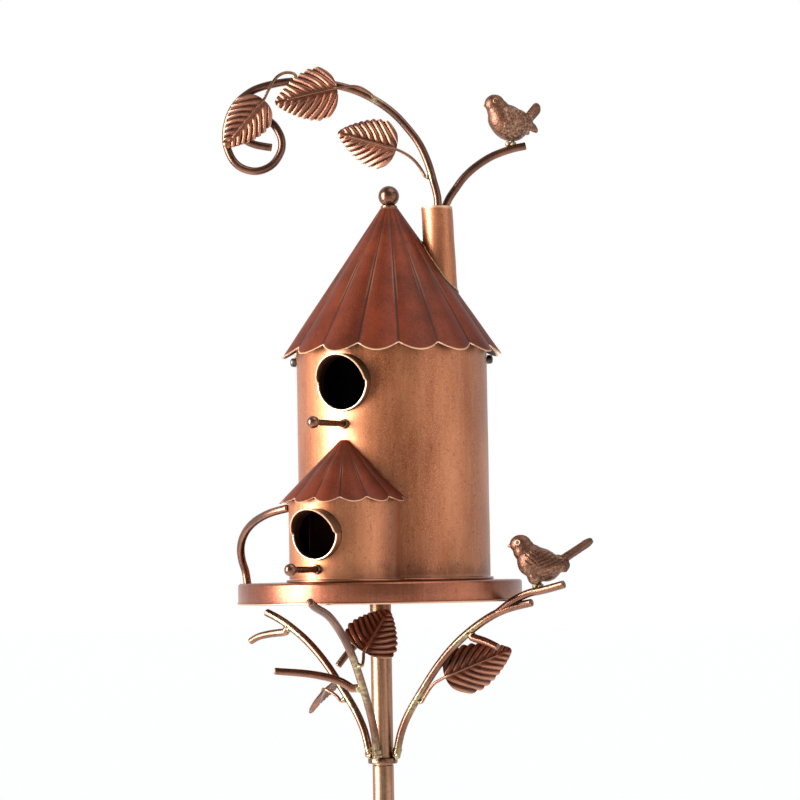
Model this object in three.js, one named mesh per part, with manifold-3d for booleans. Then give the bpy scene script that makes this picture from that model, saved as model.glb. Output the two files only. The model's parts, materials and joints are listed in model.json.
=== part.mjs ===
// A garden birdhouse on a pole: a round tower with a lean-to annex on a round tray, under fluted
// cone roofs, with a leafy vine and a bird growing out of the chimney and four branches under the tray.
// Millimetres, +Z up, entrances towards -Y. The origin is on the pole's axis at soil level.

import * as THREE from "three";
import { mergeVertices } from "three/addons/utils/BufferGeometryUtils.js";
import Module from "manifold-3d";

const wasm = await Module();
wasm.setup();

// ---------------------------------------------------------------- driving dimensions

// Clearances
const GAP = 0.3; // between pieces that touch, weld or rest on each other
const SEAT_GAP = 0.5; // under a fluted roof
const SLIP = 0.3; // radial play of a spigot in its tube
const SKIRT_PLAY = 0.6; // radial play of the roof's skirt in the tower
const HOLE_PLAY = 0.4; // radial play of a fastener or a collar in its hole

// Pole and ground fork
const TRAY_HEIGHT = 1200; // soil level to the tray's bottom edge
const TUBE_RADIUS = 8;
const TUBE_WALL = 1.2;
const SPIGOT_LENGTH = 120;
const SPIGOT_WALL = 1.2;
const HUB_WALL = 3.7;
const HUB_HEIGHT = 40;
const HUB_FLOOR = 4;
const PRONG_COUNT = 4;
const PRONG_RADIUS = 3;
const PRONG_SPREAD = 50;
const PRONG_DEPTH = 200;
const PRONG_POINT = 14;
const PRONG_LEVEL = 14;

// Tower, annex and their floor plate
const WALL_SHEET = 1.2;
const FLOOR_PLATE = 2;
const FLOOR_LIP = 2.3;
const TOWER_RADIUS = 72.5;
const TOWER_SETBACK = 23.5; // tower axis behind the pole's axis
const ANNEX_RADIUS = 42;
const ANNEX_STANDOFF = 1; // annex axis in front of the tower's wall
const ANNEX_EAVE = 75; // lowest point of the annex roof above the tray's bottom edge

// Tray and the flange that holds it
const TRAY_MARGIN = 8.7; // tray's edge beyond the floor plate, at the back
const TRAY_RADIUS = TOWER_SETBACK + TOWER_RADIUS + FLOOR_LIP + TRAY_MARGIN;
const TRAY_DEPTH = 16;
const TRAY_SHEET = 1.2;
const TRAY_EDGE_ROUND = 2.2;
const TRAY_BEAD = 0.8;
const FLANGE_RADIUS = 28;
const FLANGE_THICKNESS = 2.5;
const RIVET_COUNT = 3;
const RIVET_CIRCLE = 19;
const RIVET_RADIUS = 2;
const RIVET_HEAD_RADIUS = 4.2;
const RIVET_HEAD_HEIGHT = 2.2;
const RIVET_CROWN = 0.6; // flat top's share of the head's radius

// Entrance collars and perches
const TOWER_COLLAR_RADIUS = 21.2;
const TOWER_VISOR = 12.4; // how far the visor stands out of the wall
const ANNEX_COLLAR_RADIUS = 18.8;
const ANNEX_VISOR = 14;
const ANNEX_COLLAR_DROP = 4.7; // top of the collar below the eave
const COLLAR_SHEET = 1;
const COLLAR_LIP = 3; // how far the lower half stands out of the wall
const COLLAR_TAIL = 5; // how far the collar reaches behind the wall's front line
const EAVE_OVER_COLLAR = 1.3;
const PERCH_RADIUS = 2.4;
const PERCH_BALL_RADIUS = 4.6;
const PERCH_TAIL = 2; // how far a perch ends behind the wall's sheet
const PERCH_WASHER_RADIUS = 4;
const PERCH_WASHER_THICKNESS = 2.4;
const TOWER_PERCH_LENGTH = 45;
const TOWER_PERCH_DROP = 9.6; // perch below the bottom of the collar
const ANNEX_PERCH_LENGTH = 37;
const ANNEX_PERCH_DROP = 6.7;
const PERCH_OVER_ANNEX = 9.2; // tower's perch above the tip of the annex roof

// Roofs
const ROOF_SHEET = 1.2;
const ROOF_OVERHANG = 12;
const ROOF_HEIGHT = 123; // from the lowest point of the eave to the cone's apex
const ROOF_FLUTES = 16;
const ROOF_NOTCH = 6; // height of the notch between two scallops
const ROOF_CREASE = 2.4; // depth of the crease between two flutes at the eave
const ROOF_TIP_RADIUS = 6;
const ANNEX_OVERHANG = 7.5;
const ANNEX_ROOF_HEIGHT = 49.5;
const ANNEX_FLUTES = 14;
const ANNEX_NOTCH = 3.5;
const ANNEX_CREASE = 1.6;
const ANNEX_TIP_RADIUS = 2.8;
const SKIRT_DEPTH = 11; // the skirt reaches this far below the eave
const SKIRT_SHEET = 1.2;
const SKIRT_CLEAR = 2; // the skirt's opening round the entrance collar
const FINIAL_RADIUS = 8;
const FINIAL_STUD = 8;

// Chimney
const CHIMNEY_RADIUS = 12;
const CHIMNEY_SHEET = 1.2;
const CHIMNEY_OUT = 36.4; // chimney axis from the roof's axis
const CHIMNEY_SIDE = 2; // and in front of the vine's plane
const CHIMNEY_DROP = 9.5; // chimney's rim below the cone's apex
const CHIMNEY_CAP = 2;
const CHIMNEY_CAP_DROP = 1;

// Rods, leaves and screws
const ROD_RADIUS = 3;
const STEM_RADIUS = 1.1;
const LEAF_SHEET = 1;
const VINE_AZIMUTH = 30; // the vertical plane of the chimney, the vine and the leaves
const ARM_RING_LEVEL = -121; // from the tray's bottom edge
const ARM_CLEAR = 0.5; // extra gap between a branch's foot and the pole
const ARM_RISE = 1.5; // a branch's foot above the ring
const ARM_RING_WALL = 2.9;
const ARM_RING_HEIGHT = 4.5;
const SCREW_AZIMUTH = 30;
const SCREW_DROP = 3.5; // below the eave
const SCREW_RADIUS = 1.8;
const SCREW_HEAD_RADIUS = 3.4;
const SCREW_HEAD_LENGTH = 4.5;
const SCREW_REACH = 6; // shank inside the tower's outer face
const SCREW_ROOT = 1; // shank inside its head

// Facets
const ROUND = 48;
const SMALL_ROUND = 16;
const ROD_SIDES = 8;
const HOLE_SIDES = 12;
const RIVET_SIDES = 10;
const CHIMNEY_SIDES = 24;

const radians = THREE.MathUtils.degToRad;

// ---------------------------------------------------------------- materials

function copper(name, color, roughness) {
  return new THREE.MeshStandardMaterial({ name, color, roughness, metalness: 0.9 });
}

const WALL_COPPER = copper("wall_copper", 0xb4713f, 0.42);
const ROOF_COPPER = copper("roof_copper", 0x8a4630, 0.45);
const TRAY_COPPER = copper("tray_copper", 0xa4623c, 0.38);
const ROD_COPPER = copper("rod_copper", 0x8d6246, 0.4);
const LEAF_COPPER = copper("leaf_copper", 0x9a5a3c, 0.45);
const BIRD_COPPER = copper("bird_copper", 0x94583c, 0.5);
const POLE_COPPER = copper("pole_copper", 0xa06f50, 0.45);
const DARK_STEEL = copper("dark_steel", 0x4a4a48, 0.5);

// ---------------------------------------------------------------- shape helpers

// A manifold solid from a closed geometry.
function solidOf(geometry) {
  const bare = geometry.index ? geometry.toNonIndexed() : geometry.clone();
  bare.deleteAttribute("normal");
  bare.deleteAttribute("uv");
  const merged = mergeVertices(bare, 1e-4);
  return new wasm.Manifold(
    new wasm.Mesh({
      numProp: 3,
      vertProperties: merged.attributes.position.array,
      triVerts: new Uint32Array(merged.index.array),
    }),
  );
}

function geometryOf(solid) {
  const mesh = solid.getMesh();
  const geometry = new THREE.BufferGeometry();
  geometry.setAttribute("position", new THREE.BufferAttribute(mesh.vertProperties, 3));
  geometry.setIndex(new THREE.BufferAttribute(mesh.triVerts, 1));
  return geometry;
}

function cut(geometry, ...tools) {
  return geometryOf(tools.reduce((left, tool) => left.subtract(solidOf(tool)), solidOf(geometry)));
}

function join(geometry, ...others) {
  return geometryOf(others.reduce((sum, other) => sum.add(solidOf(other)), solidOf(geometry)));
}

// A solid of revolution about Z; the profile is [radius, height] pairs, the outside going up.
function turned(profile, segments = ROUND) {
  const points = profile.map(([radius, height]) => new THREE.Vector2(radius, height));
  return new THREE.LatheGeometry(points, segments).rotateX(Math.PI / 2);
}

// A cylinder standing on Z = low.
function post(radius, low, high, segments = ROUND) {
  const geometry = new THREE.CylinderGeometry(radius, radius, high - low, segments);
  return geometry.rotateX(Math.PI / 2).translate(0, 0, (low + high) / 2);
}

// A tube standing on Z = low.
function tube(outer, inner, low, high, segments = ROUND) {
  return turned(
    [
      [inner, low],
      [outer, low],
      [outer, high],
      [inner, high],
      [inner, low],
    ],
    segments,
  );
}

// A cylinder along -Y from y = start to y = end, at the given height.
function barForward(radius, start, end, height, segments = SMALL_ROUND) {
  const geometry = new THREE.CylinderGeometry(radius, radius, start - end, segments);
  return geometry.translate(0, (start + end) / 2, height);
}

// A cylinder along +X from x = start to x = end, at the given height.
function barOut(radius, start, end, height, segments = SMALL_ROUND) {
  const geometry = new THREE.CylinderGeometry(radius, radius, end - start, segments);
  return geometry.rotateZ(Math.PI / 2).translate((start + end) / 2, 0, height);
}

// A round rod along a smooth curve through the points.
function rod(points, radius = ROD_RADIUS, pace = 9, sides = ROD_SIDES) {
  const curve = new THREE.CatmullRomCurve3(points.map(vector), false, "centripetal");
  const outline = new THREE.Shape().absarc(0, 0, radius, 0, 2 * Math.PI, false);
  return new THREE.ExtrudeGeometry(outline, {
    curveSegments: sides / 2,
    steps: Math.max(1, Math.round(curve.getLength() / pace)),
    extrudePath: curve,
    bevelEnabled: false,
  });
}

// A closed surface from rows of points, each row a closed loop, with a cap on the first and last row.
function loft(rows) {
  const count = rows[0].length;
  const positions = [];
  const corner = (row, column) => rows[row][column % count];
  const face = (a, b, c) => positions.push(...a, ...b, ...c);
  for (let row = 0; row < rows.length - 1; row += 1) {
    for (let column = 0; column < count; column += 1) {
      face(corner(row, column), corner(row, column + 1), corner(row + 1, column + 1));
      face(corner(row, column), corner(row + 1, column + 1), corner(row + 1, column));
    }
  }
  for (let column = 1; column < count - 1; column += 1) {
    face(corner(0, 0), corner(0, column + 1), corner(0, column));
    const last = rows.length - 1;
    face(corner(last, 0), corner(last, column), corner(last, column + 1));
  }
  const geometry = new THREE.BufferGeometry();
  geometry.setAttribute("position", new THREE.Float32BufferAttribute(positions, 3));
  return geometry;
}

// The fluted cone that both roofs share: its radius and height at a flute angle, share 0 at the eave
// and 1 at the tip.
function fluteOf({ radius, height, flutes, notch, crease, tipRadius, phase }) {
  return (share, turn, inset) => {
    const bulge = Math.abs(Math.sin((flutes * (turn - phase)) / 2));
    const spread = 1 - share * (1 - tipRadius / radius);
    const level = height * (1 - spread) + notch * (1 - bulge) * spread ** 3;
    const onCone = radius * (1 - level / height);
    return [onCone - crease * (1 - bulge) * spread - inset, level];
  };
}

const FLUTE_STEPS = 4;
const CONE_RINGS = [0, 0.12, 0.5, 1];

// A fluted sheet-metal cone, open below and at its tip.
function flutedRoof(form, sheet) {
  const flute = fluteOf(form);
  const steps = form.flutes * FLUTE_STEPS;
  const slant = Math.hypot(1, form.radius / form.height);
  const rings = [
    ...CONE_RINGS.map((share) => [share, 0]),
    ...CONE_RINGS.toReversed().map((share) => [share, sheet * slant]),
  ];
  const points = rings.map(([share, inset]) =>
    Array.from({ length: steps }, (_, index) => {
      const turn = form.phase + (2 * Math.PI * index) / steps;
      const [radius, level] = flute(share, turn, inset);
      return [radius * Math.cos(turn), radius * Math.sin(turn), level];
    }),
  );
  const positions = [];
  for (let ring = 0; ring < points.length; ring += 1) {
    const next = points[(ring + 1) % points.length];
    for (let index = 0; index < steps; index += 1) {
      const after = (index + 1) % steps;
      positions.push(...points[ring][index], ...points[ring][after], ...next[after]);
      positions.push(...points[ring][index], ...next[after], ...next[index]);
    }
  }
  const geometry = new THREE.BufferGeometry();
  geometry.setAttribute("position", new THREE.Float32BufferAttribute(positions, 3));
  return geometry;
}

// The solid that the outside of a fluted roof would fill, grown by a clearance, for cutting.
function flutedCore(form, clearance) {
  const flute = fluteOf(form);
  const steps = form.flutes * FLUTE_STEPS;
  const rows = CONE_RINGS.map((share) =>
    Array.from({ length: steps }, (_, index) => {
      const turn = form.phase + (2 * Math.PI * index) / steps;
      const [radius, level] = flute(share, turn, -clearance);
      return [radius * Math.cos(turn), radius * Math.sin(turn), level];
    }),
  );
  const bottom = rows[0].map(([x, y]) => [x, y, -clearance]);
  return loft([bottom, ...rows]);
}

// A cupped leaf of thin sheet: base at the origin, tip along +X, upper face towards +Z.
const LEAF_ROWS = 8;
const LEAF_COLUMNS = 6;

function leafSheet(length, width, cup, curl) {
  const point = (row, column, lift) => {
    const along = row / LEAF_ROWS;
    const across = (2 * column) / LEAF_COLUMNS - 1;
    const half = (width / 2) * (0.06 + 0.94 * Math.sin(Math.PI * along ** 0.75) ** 0.8);
    const x = length * (along - 0.07 * across ** 2 * Math.sin(Math.PI * along));
    const z = -cup * across ** 2 * Math.sin(Math.PI * along) - curl * along ** 2 + lift;
    return [x, half * across, z];
  };
  const rows = [];
  for (let row = 0; row <= LEAF_ROWS; row += 1) {
    const upper = [];
    const lower = [];
    for (let column = 0; column <= LEAF_COLUMNS; column += 1) {
      upper.push(point(row, column, LEAF_SHEET / 2));
      lower.push(point(row, column, -LEAF_SHEET / 2));
    }
    rows.push([...lower, ...upper.toReversed()]);
  }
  return loftBand(rows);
}

// Like loft, but the end caps are strips between the two halves of each row.
function loftBand(rows) {
  const count = rows[0].length;
  const half = count / 2;
  const positions = [];
  const face = (a, b, c) => positions.push(...a, ...b, ...c);
  for (let row = 0; row < rows.length - 1; row += 1) {
    for (let column = 0; column < count; column += 1) {
      const after = (column + 1) % count;
      face(rows[row][column], rows[row][after], rows[row + 1][after]);
      face(rows[row][column], rows[row + 1][after], rows[row + 1][column]);
    }
  }
  for (const [row, facing] of [
    [rows[0], -1],
    [rows[rows.length - 1], 1],
  ]) {
    for (let column = 0; column < half - 1; column += 1) {
      const quad = [row[column], row[column + 1], row[count - 2 - column], row[count - 1 - column]];
      if (facing < 0) {
        quad.reverse();
      }
      face(quad[0], quad[1], quad[2]);
      face(quad[0], quad[2], quad[3]);
    }
  }
  const geometry = new THREE.BufferGeometry();
  geometry.setAttribute("position", new THREE.Float32BufferAttribute(positions, 3));
  return geometry;
}

function vector([x, y, z]) {
  return new THREE.Vector3(x, y, z);
}

// The leaf placed with its base, its tip and the direction that its upper face looks.
function leafAt(base, tip, face, width, cup, curl) {
  const from = vector(base);
  const along = vector(tip).sub(from);
  const length = along.length();
  along.normalize();
  const across = vector(face).cross(along).normalize();
  const up = along.clone().cross(across);
  const place = new THREE.Matrix4().makeBasis(along, across, up).setPosition(from);
  return leafSheet(length, width, cup, curl).applyMatrix4(place);
}

// ---------------------------------------------------------------- shared forms and levels

const TOWER_ROOF_FORM = {
  radius: TOWER_RADIUS + ROOF_OVERHANG,
  height: ROOF_HEIGHT,
  flutes: ROOF_FLUTES,
  notch: ROOF_NOTCH,
  crease: ROOF_CREASE,
  tipRadius: ROOF_TIP_RADIUS,
  phase: -Math.PI / 2 + Math.PI / ROOF_FLUTES,
};
const ANNEX_ROOF_FORM = {
  radius: ANNEX_RADIUS + ANNEX_OVERHANG,
  height: ANNEX_ROOF_HEIGHT,
  flutes: ANNEX_FLUTES,
  notch: ANNEX_NOTCH,
  crease: ANNEX_CREASE,
  tipRadius: ANNEX_TIP_RADIUS,
  phase: -Math.PI / 2,
};

// The height above the eave at which the underside of a crease meets a wall of this radius.
function creaseSeat(form, sheet, wallRadius) {
  const flute = fluteOf(form);
  const inset = sheet * Math.hypot(1, form.radius / form.height);
  let low = 0;
  let high = 1;
  for (let step = 0; step < 40; step += 1) {
    const middle = (low + high) / 2;
    const [radius] = flute(middle, form.phase, inset);
    if (radius > wallRadius) {
      low = middle;
    } else {
      high = middle;
    }
  }
  return flute(low, form.phase, inset)[1];
}

// Levels in the house, above the tray's bottom edge
const TRAY_TOP = TRAY_DEPTH;
const FLOOR_LOW = TRAY_TOP + GAP;
const FLOOR_TOP = FLOOR_LOW + FLOOR_PLATE;
const WALL_FOOT = FLOOR_TOP + GAP;
const FLANGE_TOP = TRAY_TOP - TRAY_SHEET - GAP;
const FLANGE_LOW = FLANGE_TOP - FLANGE_THICKNESS;
const ANNEX_HOLE_HEIGHT = ANNEX_EAVE - ANNEX_COLLAR_DROP - ANNEX_COLLAR_RADIUS;
const ANNEX_PERCH_HEIGHT = ANNEX_HOLE_HEIGHT - ANNEX_COLLAR_RADIUS - ANNEX_PERCH_DROP;
const TOWER_PERCH_HEIGHT = ANNEX_EAVE + ANNEX_ROOF_HEIGHT + PERCH_OVER_ANNEX;
const TOWER_HOLE_HEIGHT = TOWER_PERCH_HEIGHT + TOWER_PERCH_DROP + TOWER_COLLAR_RADIUS;
const ROOF_EAVE = TOWER_HOLE_HEIGHT + TOWER_COLLAR_RADIUS + EAVE_OVER_COLLAR;
const SCREW_LEVEL = ROOF_EAVE - SCREW_DROP;
const SEAM_LEVEL = ARM_RING_LEVEL - 1;

// Radii and places that fit to each other
const ANNEX_OFFSET = TOWER_RADIUS + ANNEX_STANDOFF;
const ANNEX_SETBACK = TOWER_SETBACK - ANNEX_OFFSET;
const TOWER_INSIDE = TOWER_RADIUS - WALL_SHEET;
const SKIRT_RADIUS = TOWER_INSIDE - SKIRT_PLAY;
const SPIGOT_RADIUS = TUBE_RADIUS - TUBE_WALL - SLIP;
const HUB_RADIUS = TUBE_RADIUS + SLIP + HUB_WALL;
const POLE_FOOT = HUB_FLOOR + GAP;
const POLE_HEAD = TRAY_HEIGHT + SEAM_LEVEL - GAP;
const POLE_SPLIT = (POLE_FOOT + POLE_HEAD) / 2;
const CHIMNEY_TOP = ROOF_HEIGHT - CHIMNEY_DROP;
const CAP_TOP = CHIMNEY_TOP - CHIMNEY_CAP_DROP;

const RIVET_PLACES = Array.from({ length: RIVET_COUNT }, (_, index) => {
  const turn = Math.PI / 2 + (2 * Math.PI * index) / RIVET_COUNT;
  return [RIVET_CIRCLE * Math.cos(turn), RIVET_CIRCLE * Math.sin(turn)];
});

// ---------------------------------------------------------------- pole and ground fork

function groundHub() {
  return turned(
    [
      [0, 0],
      [HUB_RADIUS, 0],
      [HUB_RADIUS, HUB_HEIGHT],
      [TUBE_RADIUS + SLIP, HUB_HEIGHT],
      [TUBE_RADIUS + SLIP, HUB_FLOOR],
      [0, HUB_FLOOR],
    ],
    SMALL_ROUND,
  );
}

// An L-shaped prong welded to the hub, its shank pointed to go into the soil.
function groundProng() {
  const start = HUB_RADIUS + GAP;
  const bar = barOut(PRONG_RADIUS, start, PRONG_SPREAD, PRONG_LEVEL, ROD_SIDES);
  const corner = new THREE.SphereGeometry(PRONG_RADIUS, ROD_SIDES, ROD_SIDES / 2);
  corner.rotateX(Math.PI / 2).translate(PRONG_SPREAD, 0, PRONG_LEVEL);
  const shank = turned(
    [
      [0, -PRONG_DEPTH],
      [PRONG_RADIUS, PRONG_POINT - PRONG_DEPTH],
      [PRONG_RADIUS, PRONG_LEVEL],
      [0, PRONG_LEVEL],
    ],
    ROD_SIDES,
  );
  return join(bar, corner, shank.translate(PRONG_SPREAD, 0, 0));
}

function spigot(middle) {
  const half = SPIGOT_LENGTH / 2;
  return tube(SPIGOT_RADIUS, SPIGOT_RADIUS - SPIGOT_WALL, middle - half, middle + half, SMALL_ROUND);
}

function poleTube(low, high) {
  return tube(TUBE_RADIUS, TUBE_RADIUS - TUBE_WALL, low, high, SMALL_ROUND);
}

// ---------------------------------------------------------------- tray, flange and floor

function rivetHoles(low, high) {
  const radius = RIVET_RADIUS + HOLE_PLAY;
  return RIVET_PLACES.map(([x, y]) => post(radius, low, high, RIVET_SIDES).translate(x, y, 0));
}

function tray() {
  const round = TRAY_EDGE_ROUND;
  const inside = TRAY_RADIUS - TRAY_SHEET;
  const corner = [0, 30, 60, 90].map((degrees) => [
    TRAY_RADIUS - round + round * Math.cos(radians(degrees)),
    TRAY_TOP - round + round * Math.sin(radians(degrees)),
  ]);
  const pan = turned([
    [inside, 0],
    [TRAY_RADIUS + TRAY_BEAD, 0],
    [TRAY_RADIUS + TRAY_BEAD, 2 * TRAY_BEAD],
    [TRAY_RADIUS, 3 * TRAY_BEAD],
    ...corner,
    [0, TRAY_TOP],
    [0, TRAY_TOP - TRAY_SHEET],
    [inside, TRAY_TOP - TRAY_SHEET],
    [inside, 0],
  ]);
  return cut(pan, ...rivetHoles(0, TRAY_TOP + 1));
}

function poleFlange() {
  const disc = post(FLANGE_RADIUS, FLANGE_LOW, FLANGE_TOP, 2 * SMALL_ROUND);
  const bore = post(TUBE_RADIUS + GAP, 0, TRAY_TOP, SMALL_ROUND);
  return cut(disc, bore, ...rivetHoles(0, TRAY_TOP));
}

function flangeRivet([x, y]) {
  const lowHead = FLANGE_LOW - GAP;
  const highHead = FLOOR_TOP + GAP;
  const crown = RIVET_HEAD_RADIUS * RIVET_CROWN;
  return turned(
    [
      [0, lowHead - RIVET_HEAD_HEIGHT],
      [crown, lowHead - RIVET_HEAD_HEIGHT],
      [RIVET_HEAD_RADIUS, lowHead],
      [RIVET_RADIUS, lowHead],
      [RIVET_RADIUS, highHead],
      [RIVET_HEAD_RADIUS, highHead],
      [crown, highHead + RIVET_HEAD_HEIGHT],
      [0, highHead + RIVET_HEAD_HEIGHT],
    ],
    RIVET_SIDES,
  ).translate(x, y, 0);
}

function floorPlate() {
  const underTower = post(TOWER_RADIUS + FLOOR_LIP, FLOOR_LOW, FLOOR_TOP);
  const underAnnex = post(ANNEX_RADIUS + FLOOR_LIP, FLOOR_LOW, FLOOR_TOP, ROUND / 2);
  underTower.translate(0, TOWER_SETBACK, 0);
  underAnnex.translate(0, ANNEX_SETBACK, 0);
  return cut(join(underTower, underAnnex), ...rivetHoles(0, FLOOR_TOP + 1));
}

// ---------------------------------------------------------------- tower and annex

function perchHole(wallRadius, height) {
  return barForward(PERCH_RADIUS + HOLE_PLAY, 0, -2 * wallRadius, height, HOLE_SIDES);
}

function collarHole(wallRadius, collarRadius, height) {
  return barForward(collarRadius + HOLE_PLAY, 0, -2 * wallRadius, height, 2 * SMALL_ROUND);
}

// One bar right across the tower makes both screw holes.
function screwHoles() {
  const across = 2 * TOWER_RADIUS;
  const bar = barOut(SCREW_RADIUS + HOLE_PLAY, -across, across, SCREW_LEVEL, HOLE_SIDES);
  return bar.rotateZ(radians(SCREW_AZIMUTH));
}

function towerShell() {
  const top = ROOF_EAVE + creaseSeat(TOWER_ROOF_FORM, ROOF_SHEET, TOWER_RADIUS) - SEAT_GAP;
  return cut(
    tube(TOWER_RADIUS, TOWER_INSIDE, WALL_FOOT, top),
    collarHole(TOWER_RADIUS, TOWER_COLLAR_RADIUS, TOWER_HOLE_HEIGHT),
    perchHole(TOWER_RADIUS, TOWER_PERCH_HEIGHT),
    screwHoles(),
  );
}

// The tower's wall as a solid in the annex's frame, for fitting the annex against it.
function towerBlock() {
  return post(TOWER_RADIUS + GAP, 0, 2 * ROOF_EAVE).translate(0, ANNEX_OFFSET, 0);
}

function annexShell() {
  const top = ANNEX_EAVE + creaseSeat(ANNEX_ROOF_FORM, ROOF_SHEET, ANNEX_RADIUS) - SEAT_GAP;
  return cut(
    tube(ANNEX_RADIUS, ANNEX_RADIUS - WALL_SHEET, WALL_FOOT, top),
    towerBlock(),
    collarHole(ANNEX_RADIUS, ANNEX_COLLAR_RADIUS, ANNEX_HOLE_HEIGHT),
    perchHole(ANNEX_RADIUS, ANNEX_PERCH_HEIGHT),
  );
}

function annexRoof() {
  return cut(flutedRoof(ANNEX_ROOF_FORM, ROOF_SHEET).translate(0, 0, ANNEX_EAVE), towerBlock());
}

// A short tube in the entrance: its lower half ends a little in front of the wall and its upper half
// runs forward to the visor's edge along a slanted plane.
function entranceCollar(wallRadius, radius, height, visor) {
  const front = -wallRadius - visor;
  const back = -wallRadius + COLLAR_TAIL;
  const lip = -wallRadius - COLLAR_LIP;
  const ring = cut(
    barForward(radius, back, front, 0, 2 * SMALL_ROUND),
    barForward(radius - COLLAR_SHEET, back + 1, front - 1, 0, 2 * SMALL_ROUND),
  );
  const margin = 2 * radius;
  const slant = new THREE.Shape();
  slant.moveTo(lip, -margin);
  slant.lineTo(lip, 0);
  slant.lineTo(front - COLLAR_SHEET, radius + COLLAR_SHEET);
  slant.lineTo(front - margin, radius + COLLAR_SHEET);
  slant.lineTo(front - margin, -margin);
  slant.closePath();
  const wedge = new THREE.ExtrudeGeometry(slant, { depth: 2 * margin, bevelEnabled: false });
  wedge.translate(0, 0, -margin).applyMatrix4(
    new THREE.Matrix4().makeBasis(
      new THREE.Vector3(0, 1, 0),
      new THREE.Vector3(0, 0, 1),
      new THREE.Vector3(1, 0, 0),
    ),
  );
  return cut(ring, wedge).translate(0, 0, height);
}

function ballPoints(radius, centre, fromDegrees, toDegrees, steps) {
  return Array.from({ length: steps + 1 }, (_, index) => {
    const turn = radians(fromDegrees + ((toDegrees - fromDegrees) * index) / steps);
    return [Math.max(0, radius * Math.cos(turn)), centre + radius * Math.sin(turn)];
  });
}

// A rod with a ball on its end, standing out of the wall towards -Y.
function perch(wallRadius, length, height) {
  const neck = -THREE.MathUtils.radToDeg(Math.acos(PERCH_RADIUS / PERCH_BALL_RADIUS));
  const profile = [
    [0, -WALL_SHEET - PERCH_TAIL],
    [PERCH_RADIUS, -WALL_SHEET - PERCH_TAIL],
    ...ballPoints(PERCH_BALL_RADIUS, length, neck, 90, 6),
  ];
  const geometry = turned(profile, HOLE_SIDES).rotateX(Math.PI / 2);
  return geometry.translate(0, -wallRadius, height);
}

function perchWasher(wallRadius, height) {
  const outside = GAP + PERCH_WASHER_THICKNESS;
  const washer = tube(PERCH_WASHER_RADIUS, PERCH_RADIUS + GAP, GAP, outside, HOLE_SIDES);
  return washer.rotateX(Math.PI / 2).translate(0, -wallRadius, height);
}

// ---------------------------------------------------------------- lift-off roof

// A ring inside the tower's top. Slots open at its foot straddle the screws, and a wider one clears
// the entrance collar, so the roof lifts straight off.
function roofSkirt() {
  const top = creaseSeat(TOWER_ROOF_FORM, ROOF_SHEET, SKIRT_RADIUS) - SEAT_GAP;
  const ring = tube(SKIRT_RADIUS, SKIRT_RADIUS - SKIRT_SHEET, -SKIRT_DEPTH, top);
  const slotTop = SCREW_LEVEL - ROOF_EAVE + SCREW_RADIUS + HOLE_PLAY;
  const slotHeight = slotTop + SKIRT_DEPTH + 1;
  const slot = new THREE.BoxGeometry(4 * SKIRT_RADIUS, 2 * (SCREW_RADIUS + HOLE_PLAY), slotHeight);
  slot.translate(0, 0, slotTop - slotHeight / 2).rotateZ(radians(SCREW_AZIMUTH));
  const clear = TOWER_COLLAR_RADIUS + SKIRT_CLEAR;
  const mouthTop = TOWER_HOLE_HEIGHT + clear - ROOF_EAVE;
  const mouthHeight = mouthTop + SKIRT_DEPTH + 1;
  const mouth = new THREE.BoxGeometry(2 * clear, SKIRT_RADIUS, mouthHeight);
  mouth.translate(0, -SKIRT_RADIUS, mouthTop - mouthHeight / 2);
  return cut(ring, slot, mouth);
}

function finial() {
  const seat = ROOF_HEIGHT * (1 - ROOF_TIP_RADIUS / TOWER_ROOF_FORM.radius);
  const stud = ROOF_TIP_RADIUS - 2 * ROOF_SHEET;
  const centre = seat + FINIAL_RADIUS + GAP;
  const neck = -THREE.MathUtils.radToDeg(Math.acos(stud / FINIAL_RADIUS));
  return turned(
    [
      [0, seat - FINIAL_STUD],
      [stud, seat - FINIAL_STUD],
      ...ballPoints(FINIAL_RADIUS, centre, neck, 90, 8),
    ],
    SMALL_ROUND,
  );
}

// The chimney stands on the cone, its foot cut to the flutes. Its frame has the roof's axis at the
// origin, the eave at height 0 and the vine's plane along X.
function chimneyTube() {
  const inside = CHIMNEY_RADIUS - CHIMNEY_SHEET;
  const chimney = tube(CHIMNEY_RADIUS, inside, 0, CHIMNEY_TOP, CHIMNEY_SIDES);
  const core = flutedCore(TOWER_ROOF_FORM, GAP).rotateZ(-radians(VINE_AZIMUTH));
  return cut(chimney.translate(CHIMNEY_OUT, -CHIMNEY_SIDE, 0), core);
}

function chimneyCap() {
  const radius = CHIMNEY_RADIUS - CHIMNEY_SHEET - GAP;
  const cap = post(radius, CAP_TOP - CHIMNEY_CAP, CAP_TOP, CHIMNEY_SIDES);
  return cap.translate(CHIMNEY_OUT, -CHIMNEY_SIDE, 0);
}

// The vine rises out of the chimney, arches over the roof and ends in a spiral. Its points, and all
// that grows with it, are measured from the top of the chimney's cap, X along the vine's plane.
const VINE_LINE = [
  [1, -3, GAP],
  [1, -3, 4],
  [0.5, -3, 10],
  [-1.9, -3, 19.5],
  [-5.9, -2, 34.5],
  [-12.4, -2, 49.5],
  [-21.4, -2, 62],
  [-31.9, -2, 73.5],
  [-45.4, -2, 83.5],
  [-59.9, -2, 91],
  [-76.4, -1, 96],
  [-92.4, 0, 98.5],
  [-108.4, 1, 99.5],
  [-122.4, 2, 98],
  [-139.4, 3, 93],
  [-151.9, 4, 83],
  [-158.4, 5, 70.5],
  [-159.9, 6, 52.5],
  [-152.4, 6, 37],
  [-138.4, 6, 31.5],
  [-124.9, 6, 36.5],
  [-117.4, 6, 50.5],
  [-120.4, 6, 62.5],
  [-128.4, 6, 71],
  [-138.4, 6, 71.5],
  [-145.9, 6, 64],
  [-144.9, 6, 55.5],
  [-137.9, 6, 52],
  [-125.4, 6, 49.5],
];

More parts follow.
